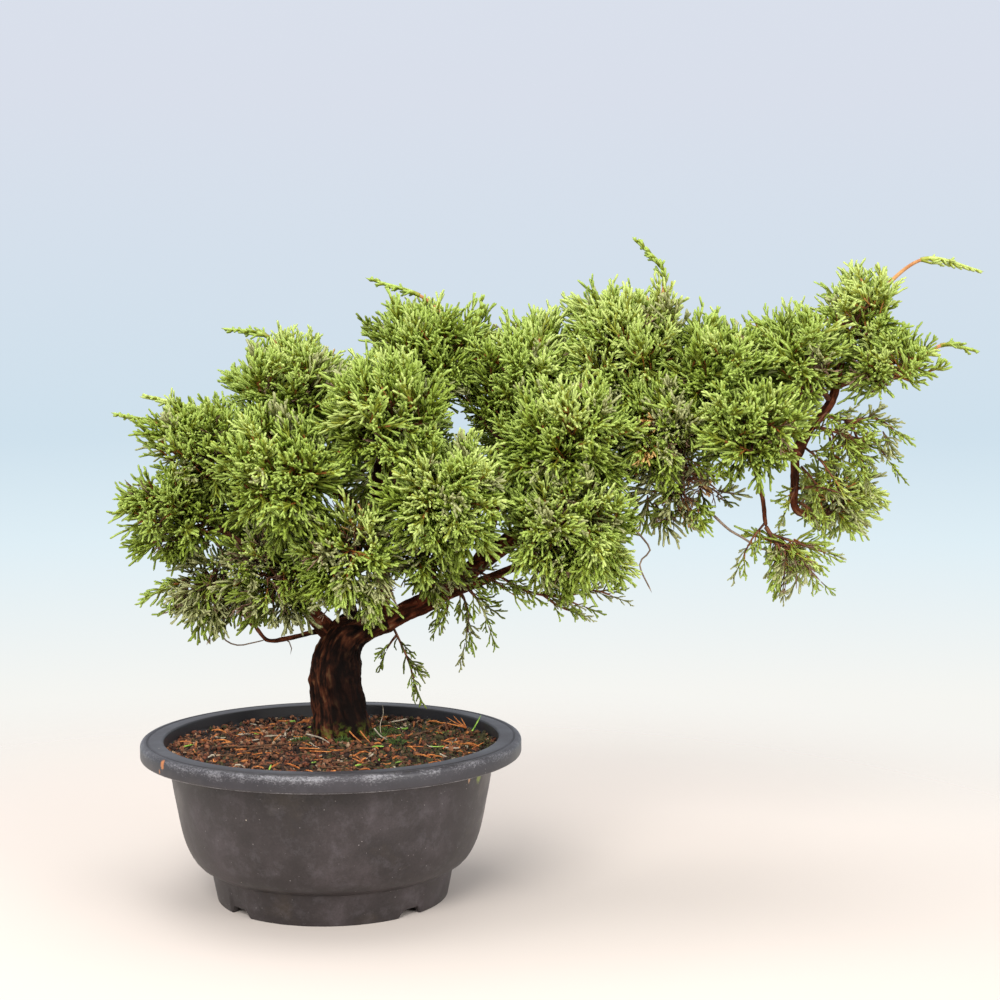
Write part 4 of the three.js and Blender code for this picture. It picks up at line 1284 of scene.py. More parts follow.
@dataclass(frozen=True)
class Mass:
    """A pad of foliage: its middle, its half-extents, and the limb and share that it grows from."""

    name: str
    at: Place
    reach: Place
    carrier: str
    share: float
    shoots: tuple[tuple[Place, ...], ...] = ()
    plumes: tuple[tuple[Place, ...], ...] = ()
    fullness: float = 1.0  # 0 where only shoots and plumes grow
    # light: above 0 the mass's sprays get painted light, below 0 painted shade.
    light: float = 0.0  # brighter above 0, darker below
    olive: float = 0.04  # the share of its sprays that are older and greyer
    straw: float = 0.004  # the share of its sprays that are dead
    bare: float = 0.12  # the share of its boughs with a bare twig
    loose: bool = False  # whether its sprays are open and slender


MASSES = (
    Mass("far_left_mass", (-97, 5, 242), (42, 46, 35), "left_limb", 1, bare=0.4),
    Mass("far_left_high_mass", (-77, -5, 281), (42, 46, 34), "left_high_limb", 1, (
        ((-94, -5, 288), (-106, -5, 298), (-137, -5, 306)),
        ((-86, -5, 298), (-97, -5, 311), (-119, -5, 316))), light=0.15),
    Mass("low_left_mass", (-76, 12, 196), (42, 42, 32), "left_twig_limb", 1, fullness=0.65, olive=0.3,
         bare=0.7),
    Mass("low_front_mass", (-33, -10, 204), (40, 40, 42), "left_limb", 0.75, fullness=0.8, light=-0.05,
         olive=0.35, bare=0.9),
    Mass("left_crown_mass", (-25, 10, 315), (50, 56, 39), "left_high_limb", 0.85,
         (((-26, 10, 338), (-41, 10, 354), (-70, 10, 359)),), light=0.2),
    Mass("front_left_mass", (-24, -42, 269), (46, 46, 42), "left_high_limb", 0.6, light=0.1),
    Mass("skirt_mass", (16, -44, 218), (38, 38, 42), "crown_limb", 0.22, light=0.12, olive=0.2, bare=0.5),
    Mass("front_high_mass", (40, -40, 300), (48, 42, 42), "crown_limb", 0.85, light=0.1),
    Mass("top_crown_mass", (64, 15, 340), (52, 56, 38), "crown_limb", 1, (
        ((72, 15, 360), (60, 15, 377), (21, 15, 391)), ((84, 10, 352), (93, 10, 366), (95, 10, 381))),
        light=0.15),
    Mass("mid_crown_mass", (122, 10, 322), (50, 56, 46), "mid_limb", 1, plumes=(
        ((106, 6, 288), (98, 0, 298), (90, -4, 308), (84, -8, 318)),
        ((106, 10, 300), (98, 12, 306), (90, 12, 312), (80, 10, 316))), light=0.12),
    Mass("right_crown_mass", (187, 5, 340), (54, 56, 50), "right_crown_limb", 1,
         (((203, 5, 365), (209, 5, 394), (189, 5, 416)),), light=0.27),
    Mass("inner_low_mass", (60, -20, 213), (32, 36, 24), "front_limb", 0.45, plumes=(
        ((76, -8, 214), (84, -22, 204), (92, -30, 192)), ((60, -6, 208), (66, -22, 198), (70, -32, 188)),
        ((88, -4, 208), (100, -18, 204), (112, -26, 196))), fullness=0.7, light=-0.05, olive=0.3, bare=0.8),
    Mass("front_centre_mass", (76, -52, 254), (46, 46, 42), "front_limb", 1, light=0.26),
    Mass("front_right_mass", (145, -30, 234), (53, 50, 45), "low_limb", 1, light=0.2, olive=0.12, bare=0.3),
    Mass("front_right_high_mass", (147, -36, 290), (54, 44, 40), "arm_limb", 0.75, light=0.15),
    Mass("back_left_mass", (-48, 68, 248), (50, 50, 50), "back_left_limb", 1),
    Mass("back_centre_mass", (42, 85, 275), (54, 50, 54), "back_limb", 1),
    Mass("back_right_mass", (137, 70, 270), (52, 48, 52), "back_right_limb", 1),
    Mass("arm_inner_mass", (205, -16, 293), (42, 42, 38), "arm_outer_limb", 0.12, olive=0.35, straw=0.02),
    Mass("arm_top_mass", (243, -5, 330), (44, 46, 35), "arm_outer_limb", 0.45, light=0.1),
    Mass("arm_front_mass", (259, -38, 295), (41, 36, 32), "arm_outer_limb", 0.6, light=0.2),
    Mass("arm_under_mass", (219, 10, 258), (46, 44, 36), "arm_outer_limb", 0.25, fullness=0.65, olive=0.5,
         straw=0.03, bare=0.6),
    Mass("arm_crown_mass", (292, 0, 335), (42, 48, 35), "tip_limb", 0.6, light=0.1),
    Mass("arm_back_mass", (281, 58, 312), (50, 40, 36), "arm_back_limb", 1),
    Mass("tip_high_mass", (334, 5, 366), (31, 38, 33), "tip_limb", 1,
         (((344, 5, 380), (372, 5, 402), (410, 5, 394)),), light=0.36),
    Mass("tip_mass", (352, -5, 333), (33, 42, 25), "tip_limb", 0.75,
         (((362, -5, 334), (382, -5, 348), (406, -5, 344)),), light=0.36, olive=0.1),
    Mass("sparse_mass", (330, -8, 289), (27, 30, 29), "tip_limb", 0.3, plumes=(
        ((306, 0, 304), (326, -4, 300), (340, -8, 288), (350, -11, 274)),
        ((322, -3, 300), (342, -6, 302), (354, -8, 294)),
        ((312, 0, 306), (307, -11, 304), (300, -20, 297)), ((303, 0, 297), (312, -12, 295), (323, -18, 290)),
        ((316, -2, 302), (328, -12, 286), (333, -16, 268)), ((318, 0, 301), (326, 8, 288), (338, 12, 276))),
        fullness=0.6, light=0.2, olive=0.3, loose=True),
    Mass("hang_mass", (320, 15, 253), (30, 38, 26), "hook_limb", 1, plumes=(
        ((293, 0, 262), (289, -8, 254), (284, -14, 244)), ((296, 0, 272), (303, -10, 262), (306, -14, 250)),
        ((293, 0, 250), (300, -10, 246), (304, -14, 238)), ((298, 0, 284), (306, -12, 276), (314, -18, 264)),
        ((294, 0, 258), (304, -12, 260), (318, -18, 256))), light=0.42, olive=0.15),
    Mass("low_mass", (286, -5, 215), (30, 35, 24), "low_twig_limb", 1, plumes=(
        ((274, 0, 234), (282, -4, 224), (296, -7, 212), (308, -7, 200)),
        ((273, 0, 236), (264, -6, 226), (258, -8, 214)),
        ((278, -2, 229), (294, -8, 224), (312, -8, 218)), ((280, -3, 226), (284, -12, 212), (283, -16, 200)),
        ((278, -2, 229), (286, 8, 220), (298, 14, 208))), fullness=0.5, light=0.2, olive=0.3, bare=0.5,
        loose=True),
    Mass("under_spray", (47, 12, 148), (14, 14, 24), "arm_limb", 0.03, plumes=(
        ((38, 14, 168), (43, 12, 158), (48, 12, 146), (52, 12, 132)),
        ((40, 13, 163), (36, 14, 158), (33, 15, 152))), fullness=0, light=-0.25),
    Mass("under_tuft", (86, 12, 170), (22, 20, 23), "arm_limb", 0.14, plumes=(
        ((78, 9, 197), (84, 10, 186), (86, 12, 172), (84, 14, 158)),
        ((84, 8, 196), (94, 8, 184), (99, 9, 170)), ((74, 8, 192), (73, 8, 182), (69, 9, 174))),
        fullness=0, light=-0.1, olive=0.4),
    Mass("under_sprig", (153, -12, 190), (30, 15, 15), "low_limb", 0.55, plumes=(
        ((104, -2, 204), (124, -8, 194), (144, -11, 191), (166, -12, 195), (178, -12, 191)),
        ((132, -9, 193), (142, -14, 186), (152, -18, 182)),
        ((140, -10, 192), (148, -4, 188), (158, -1, 184))), fullness=0, olive=0.4),
)


@dataclass
class Room:
    """The space of a mass: its ellipsoid, on its own side of a plane between it and each other mass."""

    mass: Mass
    slack: float = 13.0  # how far sprays may cross the planes
    unevenness: float = 0.36  # how much the mass's reach wanders
    most: float = 1.04  # how far a spray's tip may stand out, as a share of the reach

    def __post_init__(self) -> None:
        """Works out the planes: the direction and the distance of each."""
        self.centre, self.reach = np.array(self.mass.at, float), np.array(self.mass.reach, float)
        self.planes = []
        for other in MASSES:
            if other is self.mass:
                continue
            between, theirs = np.array(other.at, float) - self.centre, np.array(other.reach, float)
            normal = unit(between / (self.reach ** 2 + theirs ** 2))
            mine, yours = np.linalg.norm(self.reach * normal), np.linalg.norm(theirs * normal)
            self.planes.append((normal, between @ normal * mine / (mine + yours)))

    def surface(self, direction: np.ndarray) -> float:
        """Gives how far the ellipsoid reaches along a direction."""
        return 1 / float(np.linalg.norm(direction / self.reach))

    def length(self, direction: np.ndarray) -> float:
        """Gives how far foliage may go along a direction.

        Args:
            direction: A unit vector from the mass's middle.
        Returns:
            The distance from the middle.
        """
        most = self.surface(direction)
        for normal, distance in self.planes:
            along = float(direction @ normal)
            if along > 1e-6:
                most = min(most, distance / along + self.slack)
        return min(most, self.surface(direction) * self.wander(direction))

    def depth(self, point: np.ndarray) -> float:
        """Gives a point's distance from the middle as a share of the ellipsoid's reach."""
        return float(np.linalg.norm((point - self.centre) / self.reach))

    def wander(self, offset: np.ndarray) -> float:
        """Gives the share of its full reach that the mass has along an offset, for an uneven outline."""
        wave = noise.noise(Vector(unit(offset) * 2.3 + self.centre / 31))
        return min(1.0, 1 - self.unevenness * (0.4 - 1.4 * wave))

    def holds(self, tip: np.ndarray) -> bool:
        """Tells whether a spray's tip may be at a point.

        Args:
            tip: The point.
        Returns:
            Whether it is within reach and on the mass's side of every plane.
        """
        offset = tip - self.centre
        within = self.depth(tip) <= self.most * self.wander(offset)
        return within and all(offset @ normal < distance + self.slack for normal, distance in self.planes)


@dataclass(frozen=True)
class Spray:
    """A tuft of scale leaves that grows along z: blunt fingers with short forks on a brown shaft."""

    length: float
    radius: float = 0.92  # a finger's half-width
    spacing: float = 2.2  # mm of shaft to a finger
    leans: tuple[float, float] = (0.95, 0.35)  # how far fingers lean at the shaft's foot and at its end
    reach: tuple[float, float] = (0.7, 18.0)  # a finger's length as a share of the shaft, and at most
    forks: float = 1.1  # forks to a finger
    fork_places: tuple[float, float] = (0.36, 0.44)  # where they start on it, and over what share
    fork_turns: tuple[float, float] = (0.32, 0.52)  # how far they turn away, in radians
    fork_sizes: tuple[float, float] = (0.34, 0.56)  # their length as a share of the finger's
    bend: float = 0.16  # how far the shaft's end may swing out, as a share of its length
    finishes: tuple[int, ...] = (0, 0, 1, 2)  # of the shaft's stretches
    flatness: float = 0.8
    seed: int = 1

    def finger(self, root: np.ndarray, lean: float, outward: np.ndarray, size: float,
               rng: np.random.Generator) -> list[Pattern]:
        """Grows a finger that bends towards the shaft's direction, with its forks.

        Args:
            root: Where it leaves the shaft.
            lean: How far it leans from the shaft, in radians.
            outward: The side that it leans to.
            size: Its length.
            rng: The source of chance.
        Returns:
            The finger and its forks.
        """
        up = np.array([0.0, 0, 1])
        across = np.array([-outward[1], outward[0], 0])
        first = unit(outward * math.sin(lean) + up * math.cos(lean))
        later = 0.6 * lean
        second = unit(outward * math.sin(later) + up * math.cos(later) + across * rng.normal(0, 0.12))
        bend = root + 0.5 * size * first
        r = self.radius
        line = np.array([root, bend, bend + 0.42 * size * second, bend + 0.5 * size * second])
        grown = [cord(line, (0.75 * r, r, 0.86 * r), 3, (1, 2))]
        foot, span = self.fork_places
        count = int(self.forks * (0.6 + size / 25) + rng.random())
        for number in range(count):
            share = foot + span * (number + rng.random()) / count
            turn = rng.choice((-1, 1)) * rng.uniform(*self.fork_turns)
            side = across if rng.random() < 0.6 else outward - up * 0.3
            away = unit(second * math.cos(turn) + side * math.sin(turn))
            start = root + size * share * first if share < 0.5 else bend + (share - 0.5) * size * second
            reach = rng.uniform(*self.fork_sizes) * size + 0.8
            fork = np.array([start, start + 0.85 * reach * away, start + reach * away])
            grown.append(cord(fork, (0.78 * r, 0.84 * r), 3, (1 if share < 0.4 else 2,)))
        return grown

    def build(self) -> Pattern:
        """Grows the spray.

        Returns:
            The spray, with its shaft in finish 0, its fingers in 1 and their ends in 2.
        """
        rng = np.random.default_rng(self.seed)
        bend = np.append(rng.uniform(-self.bend, self.bend, 2), 0) * self.length
        up = np.array([0.0, 0, self.length])
        r = self.radius
        line = np.array([bend * t * t + up * t for t in (0, 0.3, 0.6, 0.92, 1.0)])
        grown = [cord(line, (0.62 * r, 0.62 * r, 0.8 * r, 0.84 * r), 4, self.finishes)]
        count = max(4, round(self.length * 0.85 / self.spacing))
        for k in range(count):
            t = 0.1 + 0.85 * (k + 0.5) / count
            side = k * GOLDEN_ANGLE + rng.normal(0, 0.35)
            outward = unit(np.array([math.cos(side), self.flatness * math.sin(side), 0]))
            lean = (self.leans[0] + (self.leans[1] - self.leans[0]) * t) * rng.uniform(0.8, 1.15)
            size = min(self.reach[1], self.reach[0] * self.length) * (1.05 - 0.4 * t) * rng.uniform(0.75, 1.1)
            grown += self.finger(bend * t * t + up * t, lean, outward, size, rng)
        return Pattern.join(grown)


@dataclass(frozen=True)
class Habit:
    """How this juniper grows: its kinds of spray, and the way that its boughs carry them."""

    kinds: tuple[Spray, ...] = (
        Spray(30), Spray(23), Spray(16),
        Spray(20, radius=0.85, spacing=3.2, leans=(0.8, 0.35), reach=(0.62, 13), forks=2.2,
              finishes=(0, 1, 1, 2)),
        Spray(24, radius=0.4, spacing=4.5, leans=(1.0, 0.6), reach=(0.6, 14), forks=2.0))
    dense: tuple[int, ...] = (0, 1, 2)
    loose: tuple[int, ...] = (3, 2)
    bare: int = 4
    variants: int = 6
    stem_radius: float = 2.3
    stem_reach: float = 45.0  # the reach of a mass whose stem is that thick
    stem_end: float = 8.0  # how far the stem ends short of the mass's middle
    roots: tuple[float, float, float] = (0.62, 0.36, 0.12)  # a bough's place on the stem, shift and chance
    bough_radii: tuple[float, float] = (1.1, 0.75)
    bough_area: float = 650.0  # mm2 of a mass's surface to a bough
    bough_share: tuple[float, float] = (0.42, 0.68)  # a bough's length as a share of its room
    least_room: float = 0.6  # no bough grows where its room is a smaller share of the full reach
    spare: float = 0.3  # how far the share of boughs that grow is above the mass's fullness
    fewer: float = 0.45  # how far it is below that on the mass's underside
    under: tuple[float, float, float] = (-0.45, -0.3, -0.25)  # where boughs get fewer, arch down and droop
    arch: float = 2.5  # how far a bough bends up or down
    sag: tuple[float, float] = (0.2, -0.4)  # how sprays lift, and how they droop on the underside
    pulls: tuple[float, float, float] = (0.25, 0.2, 0.65)  # how much a heading follows bough, mass and tree
    waywardness: float = 0.3  # how much a heading wanders
    cluster: int = 4  # sprays to a bough
    leans: tuple[float, float] = (0.35, 1.05)  # how far they lean from it, in radians
    end_lean: float = 0.15  # and the one at its end
    inner: float = 0.5  # inner sprays to a bough
    # inner sprays get dark tones as painted shade inside the mass
    inner_light: float = 0.05
    # painted light: sprays facing up, outwards and towards the front get lighter tones
    lit: tuple[float, ...] = (0.36, 0.24, 0.16, 0.12)  # brightness, and its gain up, outwards and frontwards
    tone_steps: tuple[float, float, float] = (0.2, 0.48, 0.85)  # brightness from one tone to the next
    plume_radii: tuple[float, float] = (0.95, 0.6)
    plume_leans: tuple[float, float] = (0.5, 0.9)
    plume_sizes: tuple[float, float] = (0.6, 0.85)
    # the painted light of the sprays on plumes
    plume_light: float = 0.35
    shoot_radii: tuple[float, float] = (1.5, 1.1)
    whip_radii: tuple[float, float] = (1.45, 0.7)
    whip_share: float = 0.5  # where a long shoot turns green
    whip_cords: tuple[float, float] = (11.5, 8.0)  # length of the first, and how much shorter the last is
    spine: tuple[Place, ...] = (  # sprays lean away from this line through the tree
        (-100, 15, 228), (-20, 18, 212), (60, 14, 222), (150, 10, 245), (260, 0, 270), (350, -4, 305),
        (385, -6, 335))

    def patterns(self) -> list[Pattern]:
        """Grows the sprays that are set out, variant by variant of each kind."""
        return [replace(kind, seed=100 * rank + k + 1).build()
                for rank, kind in enumerate(self.kinds) for k in range(self.variants)]

    def outward(self, point: np.ndarray) -> np.ndarray:
        """Gives the direction away from the tree's spine.

        Args:
            point: Where it is wanted.
        Returns:
            The direction.
        """
        starts, ends = np.array(self.spine[:-1], float), np.array(self.spine[1:], float)
        runs = ends - starts
        shares = np.clip(np.sum((point - starts) * runs, axis=1) / np.sum(runs * runs, axis=1), 0, 1)
        offsets = point - (starts + runs * shares[:, None])
        return unit(offsets[np.argmin(np.linalg.norm(offsets, axis=1))])


@dataclass
class Growth:
    """One mass while it grows on from its limb: stem, boughs, twigs and sprays."""

    habit: Habit
    mass: Mass
    rng: np.random.Generator
    twigs: list[Pattern]  # of all masses
    sprays: list[tuple[int, np.ndarray, np.ndarray, int]] = field(default_factory=list)  # see set_spray

    def __post_init__(self) -> None:
        """Works out the mass's room."""
        self.room = Room(self.mass)

    def tone(self, brightness: float) -> int:
        """Chooses a spray's tone.

        Args:
            brightness: How young the spray is and how much painted light it gets, about 0 to 1.
        Returns:
            The tone's number.
        """
        chance = self.rng.random()
        if chance < self.mass.straw:
            return Tone.STRAW.number
        if chance < self.mass.straw + self.mass.olive:
            return Tone.OLIVE.number
        value = brightness + self.mass.light + self.rng.normal(0, 0.12)
        scale = (Tone.SHADE, Tone.LEAF, Tone.FRESH, Tone.SPRING)
        return scale[int(np.searchsorted(self.habit.tone_steps, value))].number

    def set_spray(self, rank: int, origin: np.ndarray, direction: np.ndarray, scale: float,
                  tone: int) -> None:
        """Sets a spray in its place, turned about its own direction by chance.

        Args:
            rank: The place of its kind among the kinds.
            origin: Where it leaves its twig.
            direction: Where it points.
            scale: The share of its size.
            tone: Its tone's number.
        """
        turn = turn_to(direction, self.rng.uniform(0, 2 * math.pi)) * scale
        number = rank * self.habit.variants + int(self.rng.integers(self.habit.variants))
        self.sprays.append((number, turn, origin, tone))

    def fit_spray(self, ranks: Sequence[int], origin: np.ndarray, direction: np.ndarray, tone: int) -> None:
        """Sets the first of some kinds of spray that has room, if any.

        Args:
            ranks: The kinds that are tried in turn.
            origin: Where the spray leaves its twig.
            direction: Where it points.
            tone: Its tone's number.
        """
        for rank in ranks:
            scale = self.rng.uniform(0.85, 1.12)
            if self.room.holds(origin + direction * self.habit.kinds[rank].length * scale):
                self.set_spray(rank, origin, direction, scale, tone)
                return

    def directions(self) -> list[np.ndarray]:
        """Spreads directions evenly over the mass's ellipsoid.

        Returns:
            The directions from its middle.
        """
        x, y, z = self.mass.reach
        count = max(5, round(4 * math.pi * (x * y + y * z + z * x) / 3 / self.habit.bough_area))
        found = []
        for i in range(count):
            height = 1 - 2 * (i + 0.5) / count
            turn = i * GOLDEN_ANGLE + 0.6 * self.rng.random()
            ring = math.sqrt(1 - height * height)
            found.append(unit(np.array([ring * math.cos(turn) * x, ring * math.sin(turn) * y, height * z])))
        return found

    def stem(self, start: np.ndarray) -> None:
        """Grows the stem with its boughs.

        Args:
            start: Where it leaves its limb.
        """
        room, rng = self.room, self.rng
        away = unit(start - room.centre)
        middle = start + (room.centre - start) * 0.5 + rng.normal(0, 2, 3)
        line = smooth_line((tuple(start), tuple(middle), tuple(room.centre - self.habit.stem_end * away)), 4)
        radius = self.habit.stem_radius * min(1.0, self.mass.reach[0] / self.habit.stem_reach)
        self.twigs.append(taper(line, radius, 0.5 * radius, 6))
        place, shift, chance = self.habit.roots
        for direction in self.directions():
            share = place - shift * float(direction @ away) + rng.uniform(-chance, chance)
            root = line[int(np.clip(share * (len(line) - 1), 1, len(line) - 1))]
            self.bough(root if room.depth(root) < 0.75 else room.centre, direction)

    def bough(self, root: np.ndarray, direction: np.ndarray) -> None:
        """Grows one bough with its cluster of sprays.

        Args:
            root: Where the bough leaves the stem.
            direction: Where it goes from the mass's middle.
        """
        habit, rng, centre, fullness = self.habit, self.rng, self.room.centre, self.mass.fullness
        surface, length = self.room.surface(direction), self.room.length(direction)
        few, down, droop = (direction[2] < level for level in habit.under)
        share = fullness + habit.spare - (habit.fewer if few else 0)
        if length < habit.least_room * surface or rng.random() > share:
            return
        end = centre + direction * length * rng.uniform(*habit.bough_share)
        bent = root + (end - root) * 0.55 + np.array([0, 0, -habit.arch if down else habit.arch])
        line = smooth_line((root, bent + rng.normal(0, 2.0, 3), end), 7.0)
        self.twigs.append(taper(line, *habit.bough_radii, 3))
        bough, mass, tree = habit.pulls
        ahead = unit(line[-1] - line[-2]) * bough + direction * mass + habit.outward(end) * tree
        heading = unit(ahead + rng.normal(0, habit.waywardness, 3))
        ranks = habit.loose if self.mass.loose else habit.dense
        spread = rng.normal(0, 0.13)
        sag = np.array([0, 0, habit.sag[int(droop)]])
        base, upwards, outwards, frontwards = habit.lit
        for k in range(habit.cluster if length > 0.85 * surface else habit.cluster - 1):
            if rng.random() > fullness:
                continue
            lean = habit.end_lean if k == 0 else rng.uniform(*habit.leans)
            out, _ = square_to(heading, k * GOLDEN_ANGLE + rng.uniform(0, 0.6))
            aim = unit(heading * math.cos(lean) + out * math.sin(lean) + sag)
            origin = line[-1] if k == 0 else line[round(rng.uniform(0.5, 1.0) * (len(line) - 1))]
            # Painted light: lighter tones facing up, outwards and towards the front.
            brightness = (base + upwards * direction[2] + outwards * float(aim @ direction)
                          - frontwards * direction[1] + spread)
            self.fit_spray(ranks, origin, aim, self.tone(brightness))
        inner = unit(rng.normal(size=3))
        # Inner sprays get dark tones as painted shade.
        if rng.random() < habit.inner * fullness:
            self.fit_spray(ranks, line[len(line) // 3], inner, self.tone(habit.inner_light))
        if rng.random() < self.mass.bare:
            aim = unit(heading + 0.8 * inner)
            self.fit_spray((habit.bare,), line[len(line) // 2], aim, Tone.BARE.number)

    def plume(self, route: Sequence[Place]) -> None:
        """Grows an open twig with sprays on both sides along it, as where foliage hangs or reaches out alone.

        Args:
            route: The points that the twig passes.
        """
        habit, rng, line = self.habit, self.rng, smooth_line(route, 5.0)
        self.twigs.append(taper(line, *habit.plume_radii, 4))
        for i in range(1, len(line)):
            share = i / (len(line) - 1)
            heading = unit(line[i] - line[i - 1])
            out, _ = square_to(heading, math.pi * i + rng.normal(0, 0.7))
            aim = unit(heading + out * (rng.uniform(*habit.plume_leans) if i < len(line) - 1 else 0.0))
            scale = rng.uniform(*habit.plume_sizes) * (1.1 - 0.25 * share)
            self.set_spray(habit.loose[0], line[i], aim, scale, self.tone(habit.plume_light))

    def long_shoot(self, route: Sequence[Place]) -> Pattern:
        """Grows a long shoot: bare and orange at first, then a green whip with short side cords.

        Args:
            route: The points that the shoot passes.
        Returns:
            Its green part.
        """
        habit, rng, centre = self.habit, self.rng, self.room.centre
        start = centre + (np.array(route[0], float) - centre) * 0.3
        line = smooth_line((tuple(start), *route), 2.6)
        bare = round(habit.whip_share * len(line))
        self.twigs.append(taper(line[:bare + 3], *habit.shoot_radii, 5, (1,)))
        whip = line[bare:]
        grown = [taper(whip, *habit.whip_radii, 4, (1, 1, 2))]
        longest, loss = habit.whip_cords
        for i in range(len(whip) - 2):
            share = i / (len(whip) - 1)
            heading = unit(whip[i + 1] - whip[i])
            out, _ = square_to(heading, math.pi * i + rng.normal(0, 0.6))
            size = (longest - loss * share) * rng.uniform(0.75, 1.15)
            away, ahead = unit(heading + out * rng.uniform(0.6, 0.9)), unit(heading + 0.4 * out)
            bend = whip[i] + 0.55 * size * away
            side = np.array([whip[i], bend, bend + 0.38 * size * ahead, bend + 0.45 * size * ahead])
            grown.append(cord(side, (0.95, 1.1, 0.85), 3, (1, 2)))
            if size > 4:
                nub = unit(away + 0.9 * np.cross(out, heading) * rng.choice((-1, 1)))
                fork = np.array([bend, bend + 0.35 * size * nub, bend + 0.42 * size * nub])
                grown.append(cord(fork, (0.85, 0.85), 3, (2,)))
        green = Pattern.join(grown)
        green.finish += 3 * rng.choice((Tone.FRESH.number, Tone.SPRING.number))
        return green

    def grow(self, limbs: dict[str, Limb], patterns: Sequence[Pattern]) -> Pattern:
        """Grows the whole mass.

        Args:
            limbs: Trunk and limbs by name.
            patterns: The sprays that are set out.
        Returns:
            Its leaves.
        """
        if self.mass.fullness:
            self.stem(limbs[self.mass.carrier].point(self.mass.share))
        for route in self.mass.plumes:
            self.plume(route)
        layers = [self.long_shoot(route) for route in self.mass.shoots]
        for number in sorted({spray[0] for spray in self.sprays}):
            turns, places, tones = zip(*(spray[1:] for spray in self.sprays if spray[0] == number))
            layers.append(patterns[number].set_out(np.array(turns), np.array(places), 3 * np.array(tones)))
        return Pattern.join(layers)


@dataclass
class Foliage:
    """All masses of foliage, and the dead twigs that stick out of them."""

    habit: Habit = field(default_factory=Habit)
    strays: tuple[tuple[float, tuple[Place, ...]], ...] = (  # half-widths and routes of the dead twigs
        (0.65, ((187.5, -20, 236), (194.4, -20, 229), (199.4, -20, 220.8), (193.1, -20, 213.2),
                (200.7, -20, 194.3))),
        (0.55, ((-34, 26, 159.5), (-30, 25, 157), (-28.5, 24, 153), (-29.4, 24, 148.5))),
        (0.6, ((-75, 16, 178), (-74, 16, 167), (-69.6, 17, 159), (-62, 18, 156), (-54.5, 20, 157),
               (-44, 24, 159))),
        (0.9, ((240, -3, 242), (251, -3, 232), (258, -3, 228), (268.6, -4, 221.4), (275, -4, 219))))
    barks: tuple[Mottled, ...] = (
        Mottled("young_twig_bark", "4a261b", "8f5a3c", 5.0, depth=0.2),
        Mottled("green_shoot_bark", "a8683a", "cf9a62", 9.0, depth=0.1),
        Mottled("dead_twig_bark", "75604f", "a8917c", 6.0, depth=0.1))

    def build(self, limbs: dict[str, Limb]) -> None:
        """Grows all masses and joins them into pieces of leaves and one of twigs.

        Args:
            limbs: Trunk and limbs by name.
        """
        patterns, twigs, batches = self.habit.patterns(), [], [[]]
        for number, mass in enumerate(MASSES):
            rng = np.random.default_rng(1000 + number)
            grown = Growth(self.habit, mass, rng, twigs).grow(limbs, patterns)
            waiting = sum(len(leaves.corners) for leaves, _ in batches[-1])
            if waiting and waiting + len(grown.corners) > PIECE_LIMIT:
                batches.append([])
            batches[-1].append((grown, mass.name))
        materials = leaf_materials()
        for number, batch in enumerate(batches, 1):
            leaves, names = zip(*batch)
            make_piece(f"scale_leaves_{number}", Pattern.join(leaves), materials, names)
        twigs += [taper(smooth_line(route, 4.0), radius, 0.7 * radius, 4, (2,))
                  for radius, route in self.strays]
        make_piece("twigs", Pattern.join(twigs), [bark.material() for bark in self.barks],
                   [mass.name for mass in MASSES])


# The studio.

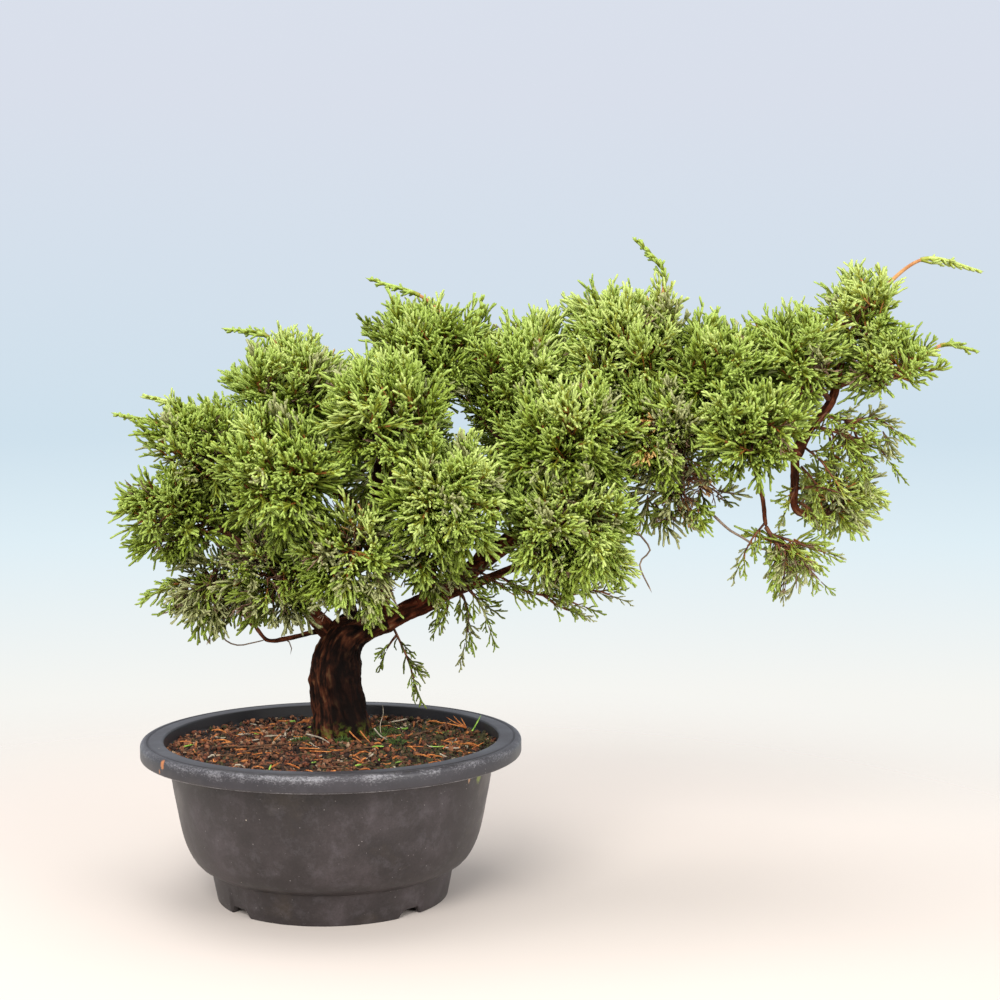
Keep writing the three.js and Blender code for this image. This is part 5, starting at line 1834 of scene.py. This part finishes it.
@dataclass
class Studio:
    """A pale floor, soft light and the camera."""

    camera_at: Place = (0.1064, -1.1, 0.323)  # metres
    camera_pitch: float = 86.25  # degrees from straight down
    lens: float = 63.0
    floor_radius: float = 2.2
    floor_fade: tuple[float, float] = (0.24, 0.78)  # the floor melts into the backdrop between these radii
    floor_color: str = "d6cabf"
    sky: tuple[tuple[float, str], ...] = (
        (0.0, "faf1e9"), (0.34, "faf1e9"), (0.415, "f6f6f2"), (0.456, "e0eff6"), (0.486, "cfe1ed"),
        (0.58, "d9dfeb"), (1.0, "e2e8f1"))
    room: tuple[float, float, float] = (-0.95, -0.2, 0.5)  # the light falls to a share of itself in front
    lights: tuple[tuple[str, Place, Place, float, float], ...] = (  # as light takes them
        ("key", (-0.6, -2.0, 1.5), (0.1, 0.0, 0.22), 1.3, 58.0),
        ("fill", (1.5, -1.2, 0.7), (0.1, 0.0, 0.2), 1.1, 22.0),
        ("top", (-0.2, 0.1, 2.2), (0.1, 0.0, 0.2), 1.6, 24.0))

    def light(self, name: str, at: Place, aim: Place, size: float, power: float) -> None:
        """Hangs one square soft light.

        Args:
            name: Its name.
            at: Where it is, in metres.
            aim: What it points at.
            size: Its side.
            power: Its power in watts.
        """
        data = bpy.data.lights.new(name, "AREA")
        data.size, data.energy = size, power
        lamp = put(name, data)
        lamp.location = at
        lamp.rotation_euler = (Vector(aim) - Vector(at)).to_track_quat("-Z", "Y").to_euler()

    def paper(self) -> bpy.types.Material:
        """Builds the floor's matt paper, which melts into the backdrop away from the pot.

        Returns:
            The finished material.
        """
        material, tree, shader = blank_material("matt_paper")
        where = add(tree, "TexCoord").outputs["Object"]
        distance = add(tree, "VectorMath", {0: where}, operation="LENGTH").outputs["Value"]
        near, far = self.floor_fade
        left = add(tree, "MapRange", {0: distance, 1: near, 2: far, 3: 1.0, 4: 0.0},
                   interpolation_type="SMOOTHSTEP")
        wire(tree, shader, {"Base Color": linear(self.floor_color), "Roughness": 0.9,
                            "Specular IOR Level": 0.1, "Alpha": left})
        return material

    def build(self) -> None:
        """Sets the floor, the light and the camera."""
        scene = bpy.context.scene
        scene.view_settings.view_transform = "Standard"
        bm = bmesh.new()
        bmesh.ops.create_circle(bm, cap_ends=True, segments=96, radius=self.floor_radius)
        mesh = finished("studio_floor", bm)
        mesh.materials.append(self.paper())
        put("studio_floor", mesh)

        world = bpy.data.worlds.new("soft_daylight")
        scene.world = world
        world.use_nodes = True
        tree = world.node_tree
        direction = add(tree, "SeparateXYZ", {0: add(tree, "TexCoord").outputs["Generated"]})
        share = add(tree, "MapRange", {0: direction.outputs[2], 1: -1.0, 2: 1.0})
        ramp = add(tree, "ValToRGB", {0: share})
        set_stops(ramp, self.sky)
        near, far, dim = self.room
        strength = add(tree, "MapRange", {0: direction.outputs[1], 1: near, 2: far, 3: dim, 4: 1.0})
        wire(tree, tree.nodes["Background"], {0: ramp, 1: strength})
        for light in self.lights:
            self.light(*light)

        lens = bpy.data.cameras.new("camera")
        lens.lens, lens.sensor_width = self.lens, 36.0
        camera = put("camera", lens)
        camera.location = self.camera_at
        camera.rotation_euler = (math.radians(self.camera_pitch), 0, 0)
        scene.camera = camera


def main() -> None:
    """Builds the studio and the plant in its pot."""
    logging.basicConfig(level=logging.INFO, format="%(name)s %(message)s")
    Studio().build()
    Pot().build()
    soil = Soil()
    soil.bed()
    soil.litter()
    limbs = grown_limbs()
    Bark().build(limbs)
    Foliage().build(limbs)
    LOG.info("sizes kept")


if __name__ == "__main__":
    main()
